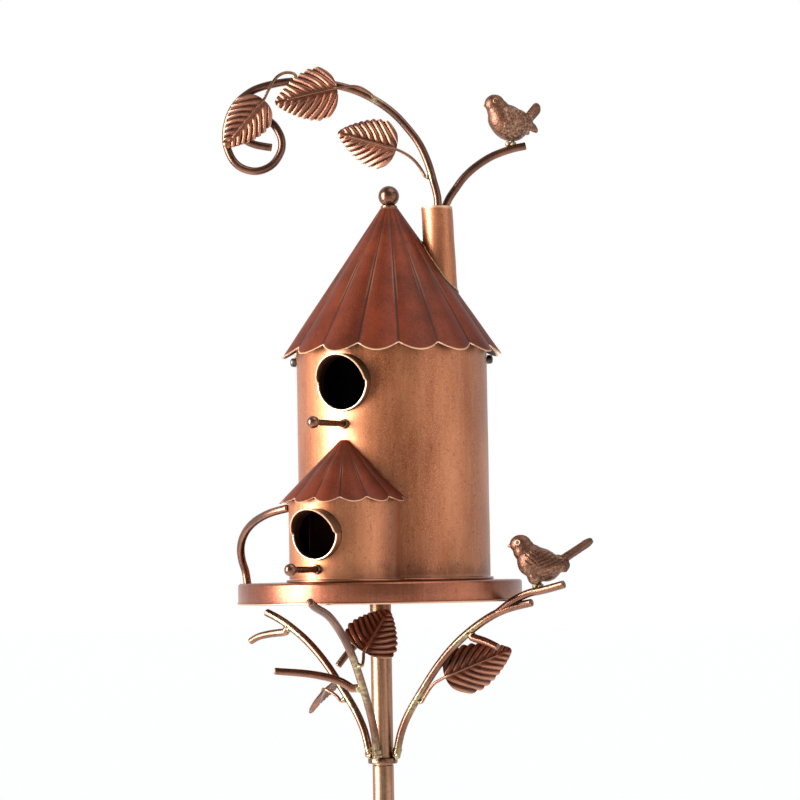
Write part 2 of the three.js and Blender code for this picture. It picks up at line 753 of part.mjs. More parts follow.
const UPPER_BRANCH_LINE = [
  [6, 3, GAP],
  [6.2, 3, 3],
  [8.6, 3, 6.5],
  [12.2, 3, 11],
  [17, 3, 18.3],
  [23.3, 2, 25.6],
  [32, 2, 32.8],
  [43.7, 2, 39.8],
  [59.7, 2, 45.2],
  [68.9, 2, 47],
];

// ---------------------------------------------------------------- branches under the tray

// A branch's centre line from the ring on the pole to the tray's edge: the share of the way out, and
// the share of the way up to the tray.
const ARM_LINE = [
  [0, 0],
  [0.023, 0.087],
  [0.06, 0.183],
  [0.139, 0.304],
  [0.212, 0.391],
  [0.307, 0.5],
  [0.412, 0.609],
  [0.506, 0.691],
  [0.601, 0.761],
  [0.716, 0.83],
  [0.842, 0.893],
  [0.979, 0.943],
  [1.105, 0.97],
  [1.231, 0.99],
];
const ARM_FOOT_OUT = TUBE_RADIUS + GAP + ARM_CLEAR + ROD_RADIUS;
const ARM_FOOT_LEVEL = ARM_RING_LEVEL + ARM_RING_HEIGHT + ARM_RISE;

// The point of a branch's centre line at a station, in the vertical plane of its azimuth.
function armPoint(azimuth, station) {
  const [outShare, upShare] = ARM_LINE[station];
  const out = ARM_FOOT_OUT + (TRAY_RADIUS - ARM_FOOT_OUT) * outShare;
  const turn = radians(azimuth);
  return [out * Math.cos(turn), out * Math.sin(turn), ARM_FOOT_LEVEL * (1 - upShare)];
}

// A branch over its first stations, and any further points measured from the last of them.
function arm(azimuth, stations, beyond = []) {
  const line = Array.from({ length: stations }, (_, station) => armPoint(azimuth, station));
  return rod([...line, ...offsetFrom(line[stations - 1], beyond)]);
}

function offsetFrom([x, y, z], offsets) {
  return offsets.map(([dx, dy, dz]) => [x + dx, y + dy, z + dz]);
}

function armRing() {
  return tube(
    TUBE_RADIUS + GAP + ARM_RING_WALL,
    TUBE_RADIUS + GAP,
    ARM_RING_LEVEL,
    ARM_RING_LEVEL + ARM_RING_HEIGHT,
    SMALL_ROUND,
  );
}

// ---------------------------------------------------------------- birds

// Stations from the beak to the tail: forward, up, half height, half width.
const BIRD_FRONT = [
  [20.5, 31.2, 0.3, 0.3],
  [16.8, 32.2, 1.8, 1.8],
  [14.8, 33, 4.4, 4.2],
  [11.2, 33.6, 6.4, 6.2],
  [6.6, 30.4, 8.4, 7.6],
  [2, 24.8, 10.8, 9.4],
  [-4, 19.8, 11.8, 10.4],
  [-10.5, 17.8, 10.4, 9.2],
  [-16.4, 18.4, 7.4, 6.6],
  [-20.8, 20.8, 4.2, 5],
];
const LONG_TAIL = [
  [-30, 26.6, 1.9, 5.4],
  [-39.5, 32.4, 1, 5.8],
];
const SHORT_TAIL = [
  [-27, 24.4, 1.9, 5.4],
  [-33.5, 28.2, 1, 5.6],
];
const BIRD_SIDES = 12;
const FOOT_RADIUS = 2.2;
const FOOT_HEIGHT = 14; // up into the body

function bird(tail) {
  const stations = [...BIRD_FRONT, ...tail].toReversed();
  const rows = stations.map(([forward, up, halfHeight, halfWidth], index) => {
    const [x0, z0] = stations[Math.max(0, index - 1)];
    const [x1, z1] = stations[Math.min(stations.length - 1, index + 1)];
    const along = new THREE.Vector2(x1 - x0, z1 - z0).normalize();
    return Array.from({ length: BIRD_SIDES }, (_, side) => {
      const turn = (2 * Math.PI * side) / BIRD_SIDES;
      const rise = halfHeight * Math.sin(turn);
      return [forward - along.y * rise, halfWidth * Math.cos(turn), up + along.x * rise];
    });
  });
  return join(loft(rows), post(FOOT_RADIUS, 0, FOOT_HEIGHT, ROD_SIDES).translate(-1, 0, 0));
}

// ---------------------------------------------------------------- assembly

const birdhouse = new THREE.Group();
const house = new THREE.Group();
const tower = new THREE.Group();
const annex = new THREE.Group();
const roof = new THREE.Group();
const chimney = new THREE.Group();
const vine = new THREE.Group();
birdhouse.add(house);
house.add(tower, annex);
tower.add(roof);
roof.add(chimney);
chimney.add(vine);
house.position.z = TRAY_HEIGHT;
tower.position.y = TOWER_SETBACK;
annex.position.y = ANNEX_SETBACK;
roof.position.z = ROOF_EAVE;
chimney.rotation.z = radians(VINE_AZIMUTH);
vine.position.set(CHIMNEY_OUT, -CHIMNEY_SIDE, CAP_TOP);

function piece(parent, name, geometry, material) {
  const mesh = new THREE.Mesh(geometry, material);
  mesh.name = name;
  parent.add(mesh);
  return mesh;
}

// Pole and ground fork
piece(birdhouse, "ground_hub", groundHub(), POLE_COPPER);
for (let index = 0; index < PRONG_COUNT; index += 1) {
  const prong = piece(birdhouse, `ground_prong_${index + 1}`, groundProng(), POLE_COPPER);
  prong.rotation.z = Math.PI / 4 + (2 * Math.PI * index) / PRONG_COUNT;
}
piece(birdhouse, "pole_lower", poleTube(POLE_FOOT, POLE_SPLIT - GAP / 2), POLE_COPPER);
piece(birdhouse, "pole_upper", poleTube(POLE_SPLIT + GAP / 2, POLE_HEAD), POLE_COPPER);
piece(birdhouse, "pole_spigot", spigot(POLE_SPLIT), DARK_STEEL);
piece(birdhouse, "head_spigot", spigot(POLE_HEAD + GAP / 2), DARK_STEEL);

// Head tube, tray and floor
piece(house, "head_tube", poleTube(SEAM_LEVEL, FLANGE_TOP), POLE_COPPER);
piece(house, "arm_ring", armRing(), ROD_COPPER);
piece(house, "pole_flange", poleFlange(), POLE_COPPER);
RIVET_PLACES.forEach((place, index) => {
  piece(house, `flange_rivet_${index + 1}`, flangeRivet(place), DARK_STEEL);
});
piece(house, "tray", tray(), TRAY_COPPER);
piece(house, "floor_plate", floorPlate(), TRAY_COPPER);

// Tower
piece(tower, "tower_wall", towerShell(), WALL_COPPER);
piece(
  tower,
  "tower_collar",
  entranceCollar(TOWER_RADIUS, TOWER_COLLAR_RADIUS, TOWER_HOLE_HEIGHT, TOWER_VISOR),
  WALL_COPPER,
);
piece(tower, "tower_perch", perch(TOWER_RADIUS, TOWER_PERCH_LENGTH, TOWER_PERCH_HEIGHT), ROD_COPPER);
piece(tower, "tower_perch_washer", perchWasher(TOWER_RADIUS, TOWER_PERCH_HEIGHT), ROD_COPPER);

// Annex
piece(annex, "annex_wall", annexShell(), WALL_COPPER);
piece(annex, "annex_roof", annexRoof(), ROOF_COPPER);
piece(
  annex,
  "annex_collar",
  entranceCollar(ANNEX_RADIUS, ANNEX_COLLAR_RADIUS, ANNEX_HOLE_HEIGHT, ANNEX_VISOR),
  WALL_COPPER,
);
piece(annex, "annex_perch", perch(ANNEX_RADIUS, ANNEX_PERCH_LENGTH, ANNEX_PERCH_HEIGHT), ROD_COPPER);
piece(annex, "annex_perch_washer", perchWasher(ANNEX_RADIUS, ANNEX_PERCH_HEIGHT), ROD_COPPER);

// Lift-off roof
piece(roof, "main_roof", flutedRoof(TOWER_ROOF_FORM, ROOF_SHEET), ROOF_COPPER);
piece(roof, "roof_skirt", roofSkirt(), WALL_COPPER);
piece(roof, "finial", finial(), ROD_COPPER);
piece(chimney, "chimney_tube", chimneyTube(), WALL_COPPER);
piece(chimney, "chimney_cap", chimneyCap(), WALL_COPPER);
piece(vine, "vine_rod", rod(VINE_LINE, ROD_RADIUS, 7), ROD_COPPER);
piece(vine, "upper_branch", rod(UPPER_BRANCH_LINE), ROD_COPPER);

// A leaf on its stem: the stem's last point is at the leaf's base.
function leafOnStem(parent, name, stem, tip, face, width, cup) {
  const base = stem[stem.length - 1];
  const before = vector(stem[stem.length - 2]);
  const foot = vector(base);
  const leafBase = foot.clone().addScaledVector(foot.clone().sub(before).normalize(), 3 * GAP);
  piece(parent, `${name}_stem`, rod(stem, STEM_RADIUS, 5, 6), ROD_COPPER);
  piece(parent, name, leafAt(leafBase.toArray(), tip, face, width, cup, 2), LEAF_COPPER);
}

leafOnStem(
  vine,
  "vine_leaf_tip",
  [
    [-106.4, 0, 104.5],
    [-112.4, -1.5, 106.2],
    [-120, -4, 102.6],
    [-125.7, -5.5, 94.2],
    [-130, -6, 85.6],
  ],
  [-160.2, -6, 48.7],
  [0.1, -1, 0.1],
  32,
  4,
);
leafOnStem(
  vine,
  "vine_leaf_middle",
  [
    [-45.2, -7, 83.8],
    [-51, -7.5, 89.3],
    [-59.9, -8.5, 93.5],
    [-73.4, -10, 92.2],
  ],
  [-122.3, -10, 84.1],
  [0, -1, 0.15],
  41,
  3,
);
leafOnStem(
  vine,
  "vine_leaf_low",
  [
    [-7.8, -3, 24],
    [-15.5, -3.5, 35.6],
    [-22.1, -4, 41.2],
    [-29.2, -4.5, 44.9],
  ],
  [-74.3, -4, 60.1],
  [0, -1, -0.1],
  37,
  5,
);

const UPPER_BIRD_TURN = 205;
const upperBird = piece(vine, "upper_bird", bird(SHORT_TAIL), BIRD_COPPER);
upperBird.position.set(56.6, 2, 45.3 + ROD_RADIUS + GAP);
upperBird.rotation.z = radians(UPPER_BIRD_TURN);

// Retaining screws, one on each side of the tower
function retainingScrew() {
  const seat = TOWER_RADIUS + GAP;
  const shank = barOut(SCREW_RADIUS, TOWER_RADIUS - SCREW_REACH, seat + SCREW_ROOT, 0, HOLE_SIDES);
  const head = barOut(SCREW_HEAD_RADIUS, seat, seat + SCREW_HEAD_LENGTH, 0);
  return join(shank, head);
}

for (const [name, turn] of [
  ["roof_screw_right", 0],
  ["roof_screw_left", Math.PI],
]) {
  const screw = piece(tower, name, retainingScrew(), DARK_STEEL);
  screw.position.z = SCREW_LEVEL;
  screw.rotation.z = radians(SCREW_AZIMUTH) + turn;
}

// Branches under the tray
const RIGHT_ARM = 0;
const FRONT_ARM = -82;
const LEFT_ARM = 177;
const BACK_ARM = 118;
const FRONT_ARM_END = [
  [1.7, -12, 3.4],
  [2.5, -18, 6.4],
];
piece(house, "arm_right", arm(RIGHT_ARM, 14), ROD_COPPER);
piece(house, "arm_front", arm(FRONT_ARM, 13, FRONT_ARM_END), ROD_COPPER);
piece(house, "arm_left", arm(LEFT_ARM, 12), ROD_COPPER);
piece(house, "arm_back", arm(BACK_ARM, 11), ROD_COPPER);

// Side twigs, each measured from a station of its branch
const TWIG_RIGHT = [
  [3.3 * ROD_RADIUS, 0, 0.8],
  [20, 0, -2],
  [31, 0, -6.5],
];
const TWIG_FRONT = [
  [-8, -6.5, 7],
  [-16, -12.5, 13],
  [-32, -24, 18],
  [-55, -40, 21],
];
const TWIG_LEFT = [
  [-7.3, 0, -2.4],
  [-19, 1, -3.4],
  [-32, 2, -5.6],
  [-41, 3, -9.5],
];
const TWIG_BACK = [
  [-9, -4, -3.5],
  [-17, -12, -12],
  [-24, -19, -22],
  [-29, -23, -30],
];
piece(house, "twig_right", rod(offsetFrom(armPoint(RIGHT_ARM, 8), TWIG_RIGHT)), ROD_COPPER);
piece(house, "twig_front", rod(offsetFrom(armPoint(FRONT_ARM, 4), TWIG_FRONT)), ROD_COPPER);
piece(house, "twig_left", rod(offsetFrom(armPoint(LEFT_ARM, 9), TWIG_LEFT)), ROD_COPPER);
piece(house, "twig_back", rod(offsetFrom(armPoint(BACK_ARM, 9), TWIG_BACK)), ROD_COPPER);

// The bird's own branch is welded on the end of the right one, just outside the tray.
const BIRD_BRANCH = [
  [0, 0, 0],
  [13, 0, 2.3],
  [28, 0, 4.9],
  [44, 0, 8.7],
];
const BIRD_BRANCH_CLEAR = 1; // from the tray's bead
const BIRD_BRANCH_START = [
  TRAY_RADIUS + TRAY_BEAD + BIRD_BRANCH_CLEAR + ROD_RADIUS,
  0,
  ROD_RADIUS + GAP,
];
const LOWER_BIRD_OUT = 21;
const LOWER_BIRD_UP = 4.3 + ROD_RADIUS + GAP;
piece(house, "lower_branch", rod(offsetFrom(BIRD_BRANCH_START, BIRD_BRANCH)), ROD_COPPER);
const lowerBird = piece(house, "lower_bird", bird(LONG_TAIL), BIRD_COPPER);
lowerBird.position.set(BIRD_BRANCH_START[0] + LOWER_BIRD_OUT, 0, BIRD_BRANCH_START[2] + LOWER_BIRD_UP);
lowerBird.rotation.z = radians(180 + VINE_AZIMUTH);

// A leaf near a station of a branch, its stem and tip measured from the branch's surface there, on
// the side that the direction away points to.
function leafOnArm(name, azimuth, station, away, stem, tip, face, width, cup) {
  const [surface] = offsetFrom(armPoint(azimuth, station), [away.map((part) => part * ROD_RADIUS)]);
  leafOnStem(house, name, offsetFrom(surface, stem), offsetFrom(surface, [tip])[0], face, width, cup);
}

leafOnArm(
  "leaf_right",
  RIGHT_ARM,
  4,
  [0.8, 0, -0.6],
  [
    [-0.3, -0.6, -3.3],
    [4.2, -0.6, 2.8],
    [10.4, 0, 10.6],
    [19.2, 0.4, 15.3],
  ],
  [67.2, 17, 35.3],
  [0.5, -0.87, 0.2],
  36,
  5,
);
leafOnArm(
  "leaf_front",
  FRONT_ARM,
  6,
  [1, 0, 0],
  [
    [1.9, 0.6, -1],
    [1.7, 3.4, 3],
    [0.4, 6.4, 8.3],
  ],
  [7, 33, 42],
  [0.5, -0.87, 0],
  40,
  4,
);
leafOnArm(
  "leaf_left",
  LEFT_ARM,
  4,
  [-0.3, -0.8, -0.5],
  [
    [-1.6, -1, -2.8],
    [-6.6, -2, 2.3],
    [-14.6, -2, 5.9],
  ],
  [-43.1, 31.4, -2.5],
  [-0.61, -0.35, 0.7],
  34,
  3,
);

// The scroll from the annex's wall, under its eave, down to the tray's rim. Its points are shares of
// the way out and round from the wall to the rim, and of the height.
const SCROLL_LINE = [
  [0, 0, 1],
  [0.15, 0.04, 0.975],
  [0.36, 0.13, 0.925],
  [0.64, 0.33, 0.82],
  [0.84, 0.52, 0.69],
  [0.97, 0.69, 0.54],
  [1.03, 0.83, 0.38],
  [1.02, 0.94, 0.2],
  [1, 1, 0.08],
  [1, 1, 0],
];
const SCROLL_AZIMUTH = 180 + VINE_AZIMUTH;
const SCROLL_FOOT_AZIMUTH = 202;
const SCROLL_DROP = 3.7;
const SCROLL_CLEAR = GAP + 0.6 * ROD_RADIUS; // its end's centre line from the annex's wall

function sideScroll() {
  const side = radians(SCROLL_AZIMUTH);
  const foot = radians(SCROLL_FOOT_AZIMUTH);
  const wall = ANNEX_RADIUS + SCROLL_CLEAR;
  const startX = wall * Math.cos(side);
  const startY = ANNEX_SETBACK + wall * Math.sin(side);
  const rim = TRAY_RADIUS - TRAY_EDGE_ROUND - ROD_RADIUS - GAP;
  const endX = rim * Math.cos(foot);
  const endY = rim * Math.sin(foot);
  const low = TRAY_TOP + GAP;
  const high = ANNEX_EAVE - SCROLL_DROP;
  return rod(
    SCROLL_LINE.map(([outShare, roundShare, upShare]) => [
      startX + (endX - startX) * outShare,
      startY + (endY - startY) * roundShare,
      low + (high - low) * upShare,
    ]),
  );
}

piece(house, "side_scroll", sideScroll(), ROD_COPPER);

export default birdhouse;
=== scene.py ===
"""The copper birdhouse: fine meshes, materials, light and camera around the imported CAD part.

Shapes are worked out in millimetres in the part's own frame and stored in metres. Places and sizes come
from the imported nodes: a rod's line from the rings of its CAD mesh, a leaf's frame from its corners.
"""

import json
import math

import bmesh
import bpy
from mathutils import Matrix, Vector, noise


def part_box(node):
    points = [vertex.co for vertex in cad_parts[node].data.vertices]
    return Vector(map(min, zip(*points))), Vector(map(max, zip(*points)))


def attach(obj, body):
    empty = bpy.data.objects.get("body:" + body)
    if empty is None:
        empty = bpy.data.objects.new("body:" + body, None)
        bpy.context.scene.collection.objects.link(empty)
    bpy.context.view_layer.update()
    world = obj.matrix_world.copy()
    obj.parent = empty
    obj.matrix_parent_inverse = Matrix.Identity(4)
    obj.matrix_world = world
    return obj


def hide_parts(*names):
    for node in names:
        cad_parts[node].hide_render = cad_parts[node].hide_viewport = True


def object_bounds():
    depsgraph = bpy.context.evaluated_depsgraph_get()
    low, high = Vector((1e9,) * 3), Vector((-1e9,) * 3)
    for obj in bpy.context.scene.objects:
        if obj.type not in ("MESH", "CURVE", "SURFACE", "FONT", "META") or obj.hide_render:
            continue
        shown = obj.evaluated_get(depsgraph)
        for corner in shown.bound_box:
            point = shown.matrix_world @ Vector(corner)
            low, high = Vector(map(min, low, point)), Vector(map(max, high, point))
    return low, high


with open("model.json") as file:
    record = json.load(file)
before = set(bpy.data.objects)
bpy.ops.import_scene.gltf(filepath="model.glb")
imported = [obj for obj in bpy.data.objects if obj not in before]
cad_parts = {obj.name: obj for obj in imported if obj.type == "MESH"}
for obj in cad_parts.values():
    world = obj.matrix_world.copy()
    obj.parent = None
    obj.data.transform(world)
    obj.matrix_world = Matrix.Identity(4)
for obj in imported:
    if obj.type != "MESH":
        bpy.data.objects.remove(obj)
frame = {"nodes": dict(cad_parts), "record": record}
cad_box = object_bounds()

MM = 0.001
RECORD = frame["record"]
BODY_OF = {node: body for body, nodes in RECORD["behaviour"]["bodies"].items() for node in nodes}
SLOT_OF = {row["node"]: row["material_slot"] for row in RECORD["subparts"]}

# Sizes in millimetres, most of them as in the part's source
ROD_RADIUS = 3.0
STEM_RADIUS = 1.1
SHEET = 1.2
GAP = 0.3
COLLAR_SHEET = 1.0
COLLAR_LIP = 3.0
COLLAR_HOLE_PLAY = 0.4
SKIRT_CLEAR = 2.0
SCREW_HOLE = 2.2
SCREW_SLOT = 12
PERCH_HOLE = 2.8
PERCH_RADIUS = 2.4
FINIAL_RADIUS = 8.0

# The vine's plane, which the photograph is taken square on to
VINE_AZIMUTH = math.radians(30)
RIGHT_HAND = Vector((math.cos(VINE_AZIMUTH), math.sin(VINE_AZIMUTH), 0))
TO_EYE = Vector((math.sin(VINE_AZIMUTH), -math.cos(VINE_AZIMUTH), 0))
TOWARDS_VIEWER = Vector((0.5, -0.866, 0))


def up(height):
    return Vector((0, 0, height))


def compass(turn):
    """The level direction at an angle from X."""
    return Vector((math.cos(turn), math.sin(turn), 0))


def circle(count):
    """Angles spread evenly round a circle."""
    return [2 * math.pi * index / count for index in range(count)]


def box(node):
    """The lowest and the highest corner of a CAD node, in millimetres."""
    low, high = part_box(node)
    return low / MM, high / MM


def middle(node):
    low, high = box(node)
    return (low + high) / 2


def half_width(node):
    low, high = box(node)
    return (high.x - low.x) / 2


TRAY_LOW, TRAY_HIGH = box("tray")
TOWER_RADIUS = half_width("tower_wall")
TOWER_AXIS = middle("tower_wall").xy
ANNEX_RADIUS = half_width("annex_wall")
ANNEX_AXIS = Vector((0, box("annex_wall")[0].y + ANNEX_RADIUS))


# --- mesh helpers


def skin(bm, rows, around=True, over=False, caps=False):
    """Adds a surface of quads through rows of points, and returns its vertices row by row.

    Around closes every row, over joins the last row to the first, and caps fills the end rows.
    """
    grid = [[bm.verts.new(point) for point in row] for row in rows]
    loop = grid + [grid[0]] if over else grid
    for low, high in zip(loop, loop[1:]):
        pairs = list(zip(low, high))
        if around:
            pairs.append(pairs[0])
        for (a, d), (b, c) in zip(pairs, pairs[1:]):
            bm.faces.new((a, b, c, d))
    if caps:
        bm.faces.new(reversed(grid[0]))
        bm.faces.new(grid[-1])
    return grid


def blank():
    """An empty bmesh with the layers that the materials read."""
    bm = bmesh.new()
    for name in ("edge", "groove", "weld"):
        bm.verts.layers.float.new(name)
    return bm


def layer(bm, name):
    """The float layer of that name."""
    return bm.verts.layers.float[name]


def mark_near(bm, name, points, reach):
    """Raises a layer to 1 at the points, falling to 0 at the reach."""
    mark = layer(bm, name)
    for vert in bm.verts:
        for point in points:
            share = 1 - (vert.co - point).length / reach
            if share > vert[mark]:
                vert[mark] = share


def arc(centre, radius, start, end, steps):
    """Points of an arc in the (radius, height) plane, angles in degrees."""
    for index in range(steps + 1):
        turn = math.radians(start + (end - start) * index / steps)
        yield (centre[0] + radius * math.cos(turn), centre[1] + radius * math.sin(turn))


def rounded(corners, radius, steps=3):
    """A closed outline with its corners rounded; corners on the axis stay sharp."""
    points = []
    count = len(corners)
    for index, corner in enumerate(corners):
        here = Vector(corner)
        before = Vector(corners[index - 1]) - here
        after = Vector(corners[(index + 1) % count]) - here
        if here.x < 1e-6 or before.length < 1e-6 or after.length < 1e-6:
            points.append(tuple(here))
            continue
        reach = min(radius, 0.45 * before.length, 0.45 * after.length)
        first = here + before.normalized() * reach
        last = here + after.normalized() * reach
        for step in range(steps + 1):
            share = step / steps
            points.append(tuple(first.lerp(here, share).lerp(here.lerp(last, share), share)))
    return points


def turned(bm, profile, place=Matrix.Identity(4), segments=96, closed=True):
    """Adds a solid of revolution: the profile is (radius, height) pairs about the place's Z axis."""
    rows = []
    turns = circle(segments)
    for radius, height in profile:
        rows.append([place @ Vector((radius * math.cos(t), radius * math.sin(t), height)) for t in turns])
    return skin(bm, rows, over=closed)


def smooth_line(points, spacing, pieces=16):
    """Points at an even spacing on a smooth curve through the given ones (a centripetal Catmull-Rom)."""
    points = [Vector(p) for p in points]
    padded = [2 * points[0] - points[1], *points, 2 * points[-1] - points[-2]]
    fine = [points[0]]
    for a, b, c, d in zip(padded, padded[1:], padded[2:], padded[3:]):
        knots = [0.0]
        for p, q in ((a, b), (b, c), (c, d)):
            knots.append(knots[-1] + max(1e-4, (q - p).length) ** 0.5)
        t0, t1, t2, t3 = knots
        for step in range(1, pieces + 1):
            t = t1 + (t2 - t1) * step / pieces
            ab = a + (b - a) * ((t - t0) / (t1 - t0))
            bc = b + (c - b) * ((t - t1) / (t2 - t1))
            cd = c + (d - c) * ((t - t2) / (t3 - t2))
            abc = ab + (bc - ab) * ((t - t0) / (t2 - t0))
            bcd = bc + (cd - bc) * ((t - t1) / (t3 - t1))
            fine.append(abc + (bcd - abc) * ((t - t1) / (t2 - t1)))
    lengths = [0.0]
    for p, q in zip(fine, fine[1:]):
        lengths.append(lengths[-1] + (q - p).length)
    count = max(2, round(lengths[-1] / spacing))
    even, at = [], 0
    for index in range(count + 1):
        wanted = lengths[-1] * index / count
        while at < len(fine) - 2 and lengths[at + 1] < wanted:
            at += 1
        share = (wanted - lengths[at]) / max(1e-9, lengths[at + 1] - lengths[at])
        even.append(fine[at].lerp(fine[at + 1], min(1, share)))
    return even


def sweep(bm, line, radius, sides=20, ends=0.8, wobble=0.006):
    """Adds a round bar with rounded ends along a line; radius is a function of the share of the way."""
    stations = []
    count = len(line) - 1
    for index, point in enumerate(line):
        ahead = (line[min(count, index + 1)] - line[max(0, index - 1)]).normalized()
        stations.append([point, ahead, radius(index / count)])
    for station, sign in ((stations[0], 1), (stations[-1], -1)):
        point, ahead, size = station
        edge = min(ends, 0.8 * size)
        extra = []
        for degrees in (90, 60, 30):
            turn = math.radians(degrees)
            inward = edge * (1 - math.sin(turn))
            extra.append([point + ahead * inward * sign, ahead, size - edge * (1 - math.cos(turn))])
        station[0] = point + ahead * edge * sign
        stations = extra + stations if sign > 0 else stations + extra[::-1]
    side = stations[0][1].orthogonal().normalized()
    rows = []
    for point, ahead, size in stations:
        side = (side - ahead * side.dot(ahead)).normalized()
        other = ahead.cross(side)
        ring = []
        for turn in circle(sides):
            out = side * math.cos(turn) + other * math.sin(turn)
            grain = 1 + wobble * noise.noise((point + out * size) * 0.22)
            ring.append(point + out * size * grain)
        rows.append(ring)
    return skin(bm, rows, caps=True)


def lump(bm, centre, size, seed):
    """Adds a weld bead, an uneven ball, and marks it as weld metal."""
    made = bmesh.ops.create_icosphere(bm, subdivisions=3, radius=1)["verts"]
    mark = layer(bm, "weld")
    shift = Vector((seed * 7.3, seed * 3.1, seed * 1.7))
    for vert in made:
        grain = 1 + 0.35 * noise.noise(vert.co * 1.7 + shift) + 0.12 * noise.noise(vert.co * 5 + shift)
        vert.co = centre + vert.co * size * grain
        vert[mark] = 1.0


def ellipsoid(bm, centre, radii, pitch=0.0, yaw=0.0, detail=4):
    """Adds an ellipsoid, its nose turned up by the pitch and sideways by the yaw, in degrees."""
    turn = Matrix.Rotation(math.radians(yaw), 4, "Z") @ Matrix.Rotation(-math.radians(pitch), 4, "Y")
    place = Matrix.Translation(centre) @ turn @ Matrix.Diagonal((*radii, 1))
    bmesh.ops.create_icosphere(bm, subdivisions=detail, radius=1, matrix=place)


def finished_mesh(bm, name, sharp):
    """The mesh of a bmesh in millimetres, in metres, smooth but for edges over the sharp angle."""
    bmesh.ops.remove_doubles(bm, verts=bm.verts, dist=0.002)
    bmesh.ops.recalc_face_normals(bm, faces=bm.faces)
    bmesh.ops.scale(bm, vec=(MM, MM, MM), verts=bm.verts)
    mesh = bpy.data.meshes.new(name)
    bm.to_mesh(mesh)
    bm.free()
    mesh.shade_smooth()
    mesh.set_sharp_from_angle(angle=math.radians(sharp))
    return mesh


def linked(name, data):
    """A new object with that data, in the scene."""
    made = bpy.data.objects.new(name, data)
    bpy.context.scene.collection.objects.link(made)
    return made


def show(node, bm, sharp=40):
    """Makes the bmesh the piece shown for a CAD node, on its body, with its slot and material."""
    name = f"{node}_fine"
    made = linked(name, finished_mesh(bm, name, sharp))
    made.data.materials.append(MATERIALS[SLOT_OF[node]])
    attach(made, BODY_OF[node])
    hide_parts(node)
    return made


def apply_modifiers(made):
    """Bakes the modifiers into the mesh."""
    graph = bpy.context.evaluated_depsgraph_get()
    mesh = bpy.data.meshes.new_from_object(made.evaluated_get(graph))
    made.modifiers.clear()
    old, made.data = made.data, mesh
    bpy.data.meshes.remove(old)
    return mesh


def drill(made, bars, sharp=40):
    """Cuts bars out of a shown piece; each is (start, end, radius), and bars cut together must not overlap
    along their length."""
    bm = blank()
    for start, end, radius in bars:
        ahead = (end - start).normalized()
        place = Matrix.Translation(start) @ ahead.to_track_quat("Z", "Y").to_matrix().to_4x4()
        length = (end - start).length
        turned(bm, [(0, 0), (radius, 0), (radius, length), (0, length)], place, 96, closed=False)
    cutter = linked("cutter", finished_mesh(bm, "cutter", 40))
    cut = made.modifiers.new("cut", "BOOLEAN")
    cut.object = cutter
    cut.solver = "EXACT"
    mesh = apply_modifiers(made)
    bpy.data.objects.remove(cutter)
    mesh.shade_smooth()
    mesh.set_sharp_from_angle(angle=math.radians(sharp))


# --- reading shapes from the CAD nodes


def centre_line(node, radius):
    """The middles of the rings of corners that a CAD rod is made of, from one end to the other."""
    bm = bmesh.new()
    bm.from_mesh(frame["nodes"][node].data)
    bmesh.ops.remove_doubles(bm, verts=bm.verts, dist=1e-6)

    def flat_patch(face):
        """The corners of the faces that lie in one plane with this one."""
        seen, queue = {face}, [face]
        while queue:
            for edge in queue.pop().edges:
                for other in edge.link_faces:
                    if other not in seen and other.normal.angle(face.normal, 9) < 0.02:
                        seen.add(other)
                        queue.append(other)
        return {vert for each in seen for vert in each.verts}

    best = []
    for face in bm.faces:
        patch = flat_patch(face)
        spread = max((a.co - b.co).length for a in patch for b in patch)
        if spread < 2.1 * radius * MM and len(patch) > len(best):
            best = sorted(patch, key=lambda v: v.index)
    seen, rings = set(best), [best]
    while rings[-1]:
        touching = {e.other_vert(v) for v in rings[-1] for e in v.link_edges} - seen
        seen |= touching
        rings.append(sorted(touching, key=lambda v: v.index))
    middles = [sum((v.co for v in ring), Vector()) / len(ring) / MM for ring in rings[:-1]]
    bm.free()
    return middles


def from_the_end_near(line, point):
    """The line, turned round if its other end is the nearer one to the point."""
    if (line[-1] - point).length < (line[0] - point).length:
        return line[::-1]
    return line


def nearest_on(line, point):
    return min(line, key=lambda p: (p - point).length)


LINE_STEP = 1.2
LEAF_BASE_REACH = 5
ROD_NODES = [node for node in SLOT_OF if "arm_" in node and node != "arm_ring"]
ROD_NODES += [node for node in SLOT_OF if node.startswith("twig_") or node.endswith("_branch")]
ROD_NODES += ["vine_rod", "side_scroll"]
LINES = {node: smooth_line(centre_line(node, ROD_RADIUS), LINE_STEP) for node in ROD_NODES}
LINES["vine_rod"] = from_the_end_near(LINES["vine_rod"], middle("chimney_cap"))
STEM_NODES = [node for node in SLOT_OF if node.endswith("_stem")]
STEM_LINES = {node: centre_line(node, STEM_RADIUS) for node in STEM_NODES}


def leaf_place(node, facing):
    """A leaf's frame (X from base to tip, Z out of its face), its length and its width."""
    points = [v.co / MM for v in frame["nodes"][node].data.vertices]
    stem = STEM_LINES[f"{node}_stem"]
    base = min(points, key=lambda p: min((p - stem[0]).length, (p - stem[-1]).length))
    near = [p for p in points if (p - base).length < LEAF_BASE_REACH]
    base = sum(near, Vector()) / len(near)
    tip = max(points, key=lambda p: (p - base).length)
    along = (tip - base).normalized()
    widest, across = 0, None
    some = points[:: max(1, len(points) // 40)]
    for p in points:
        for q in some:
            apart = (p - q) - along * (p - q).dot(along)
            if apart.length > widest:
                widest, across = apart.length, apart.normalized()
    out = along.cross(across)
    if out.dot(Vector(facing)) < 0:
        out = -out
    across = out.cross(along)
    place = Matrix((along, across, out)).transposed().to_4x4()
    return Matrix.Translation(base) @ place, (tip - base).length, widest


# --- materials


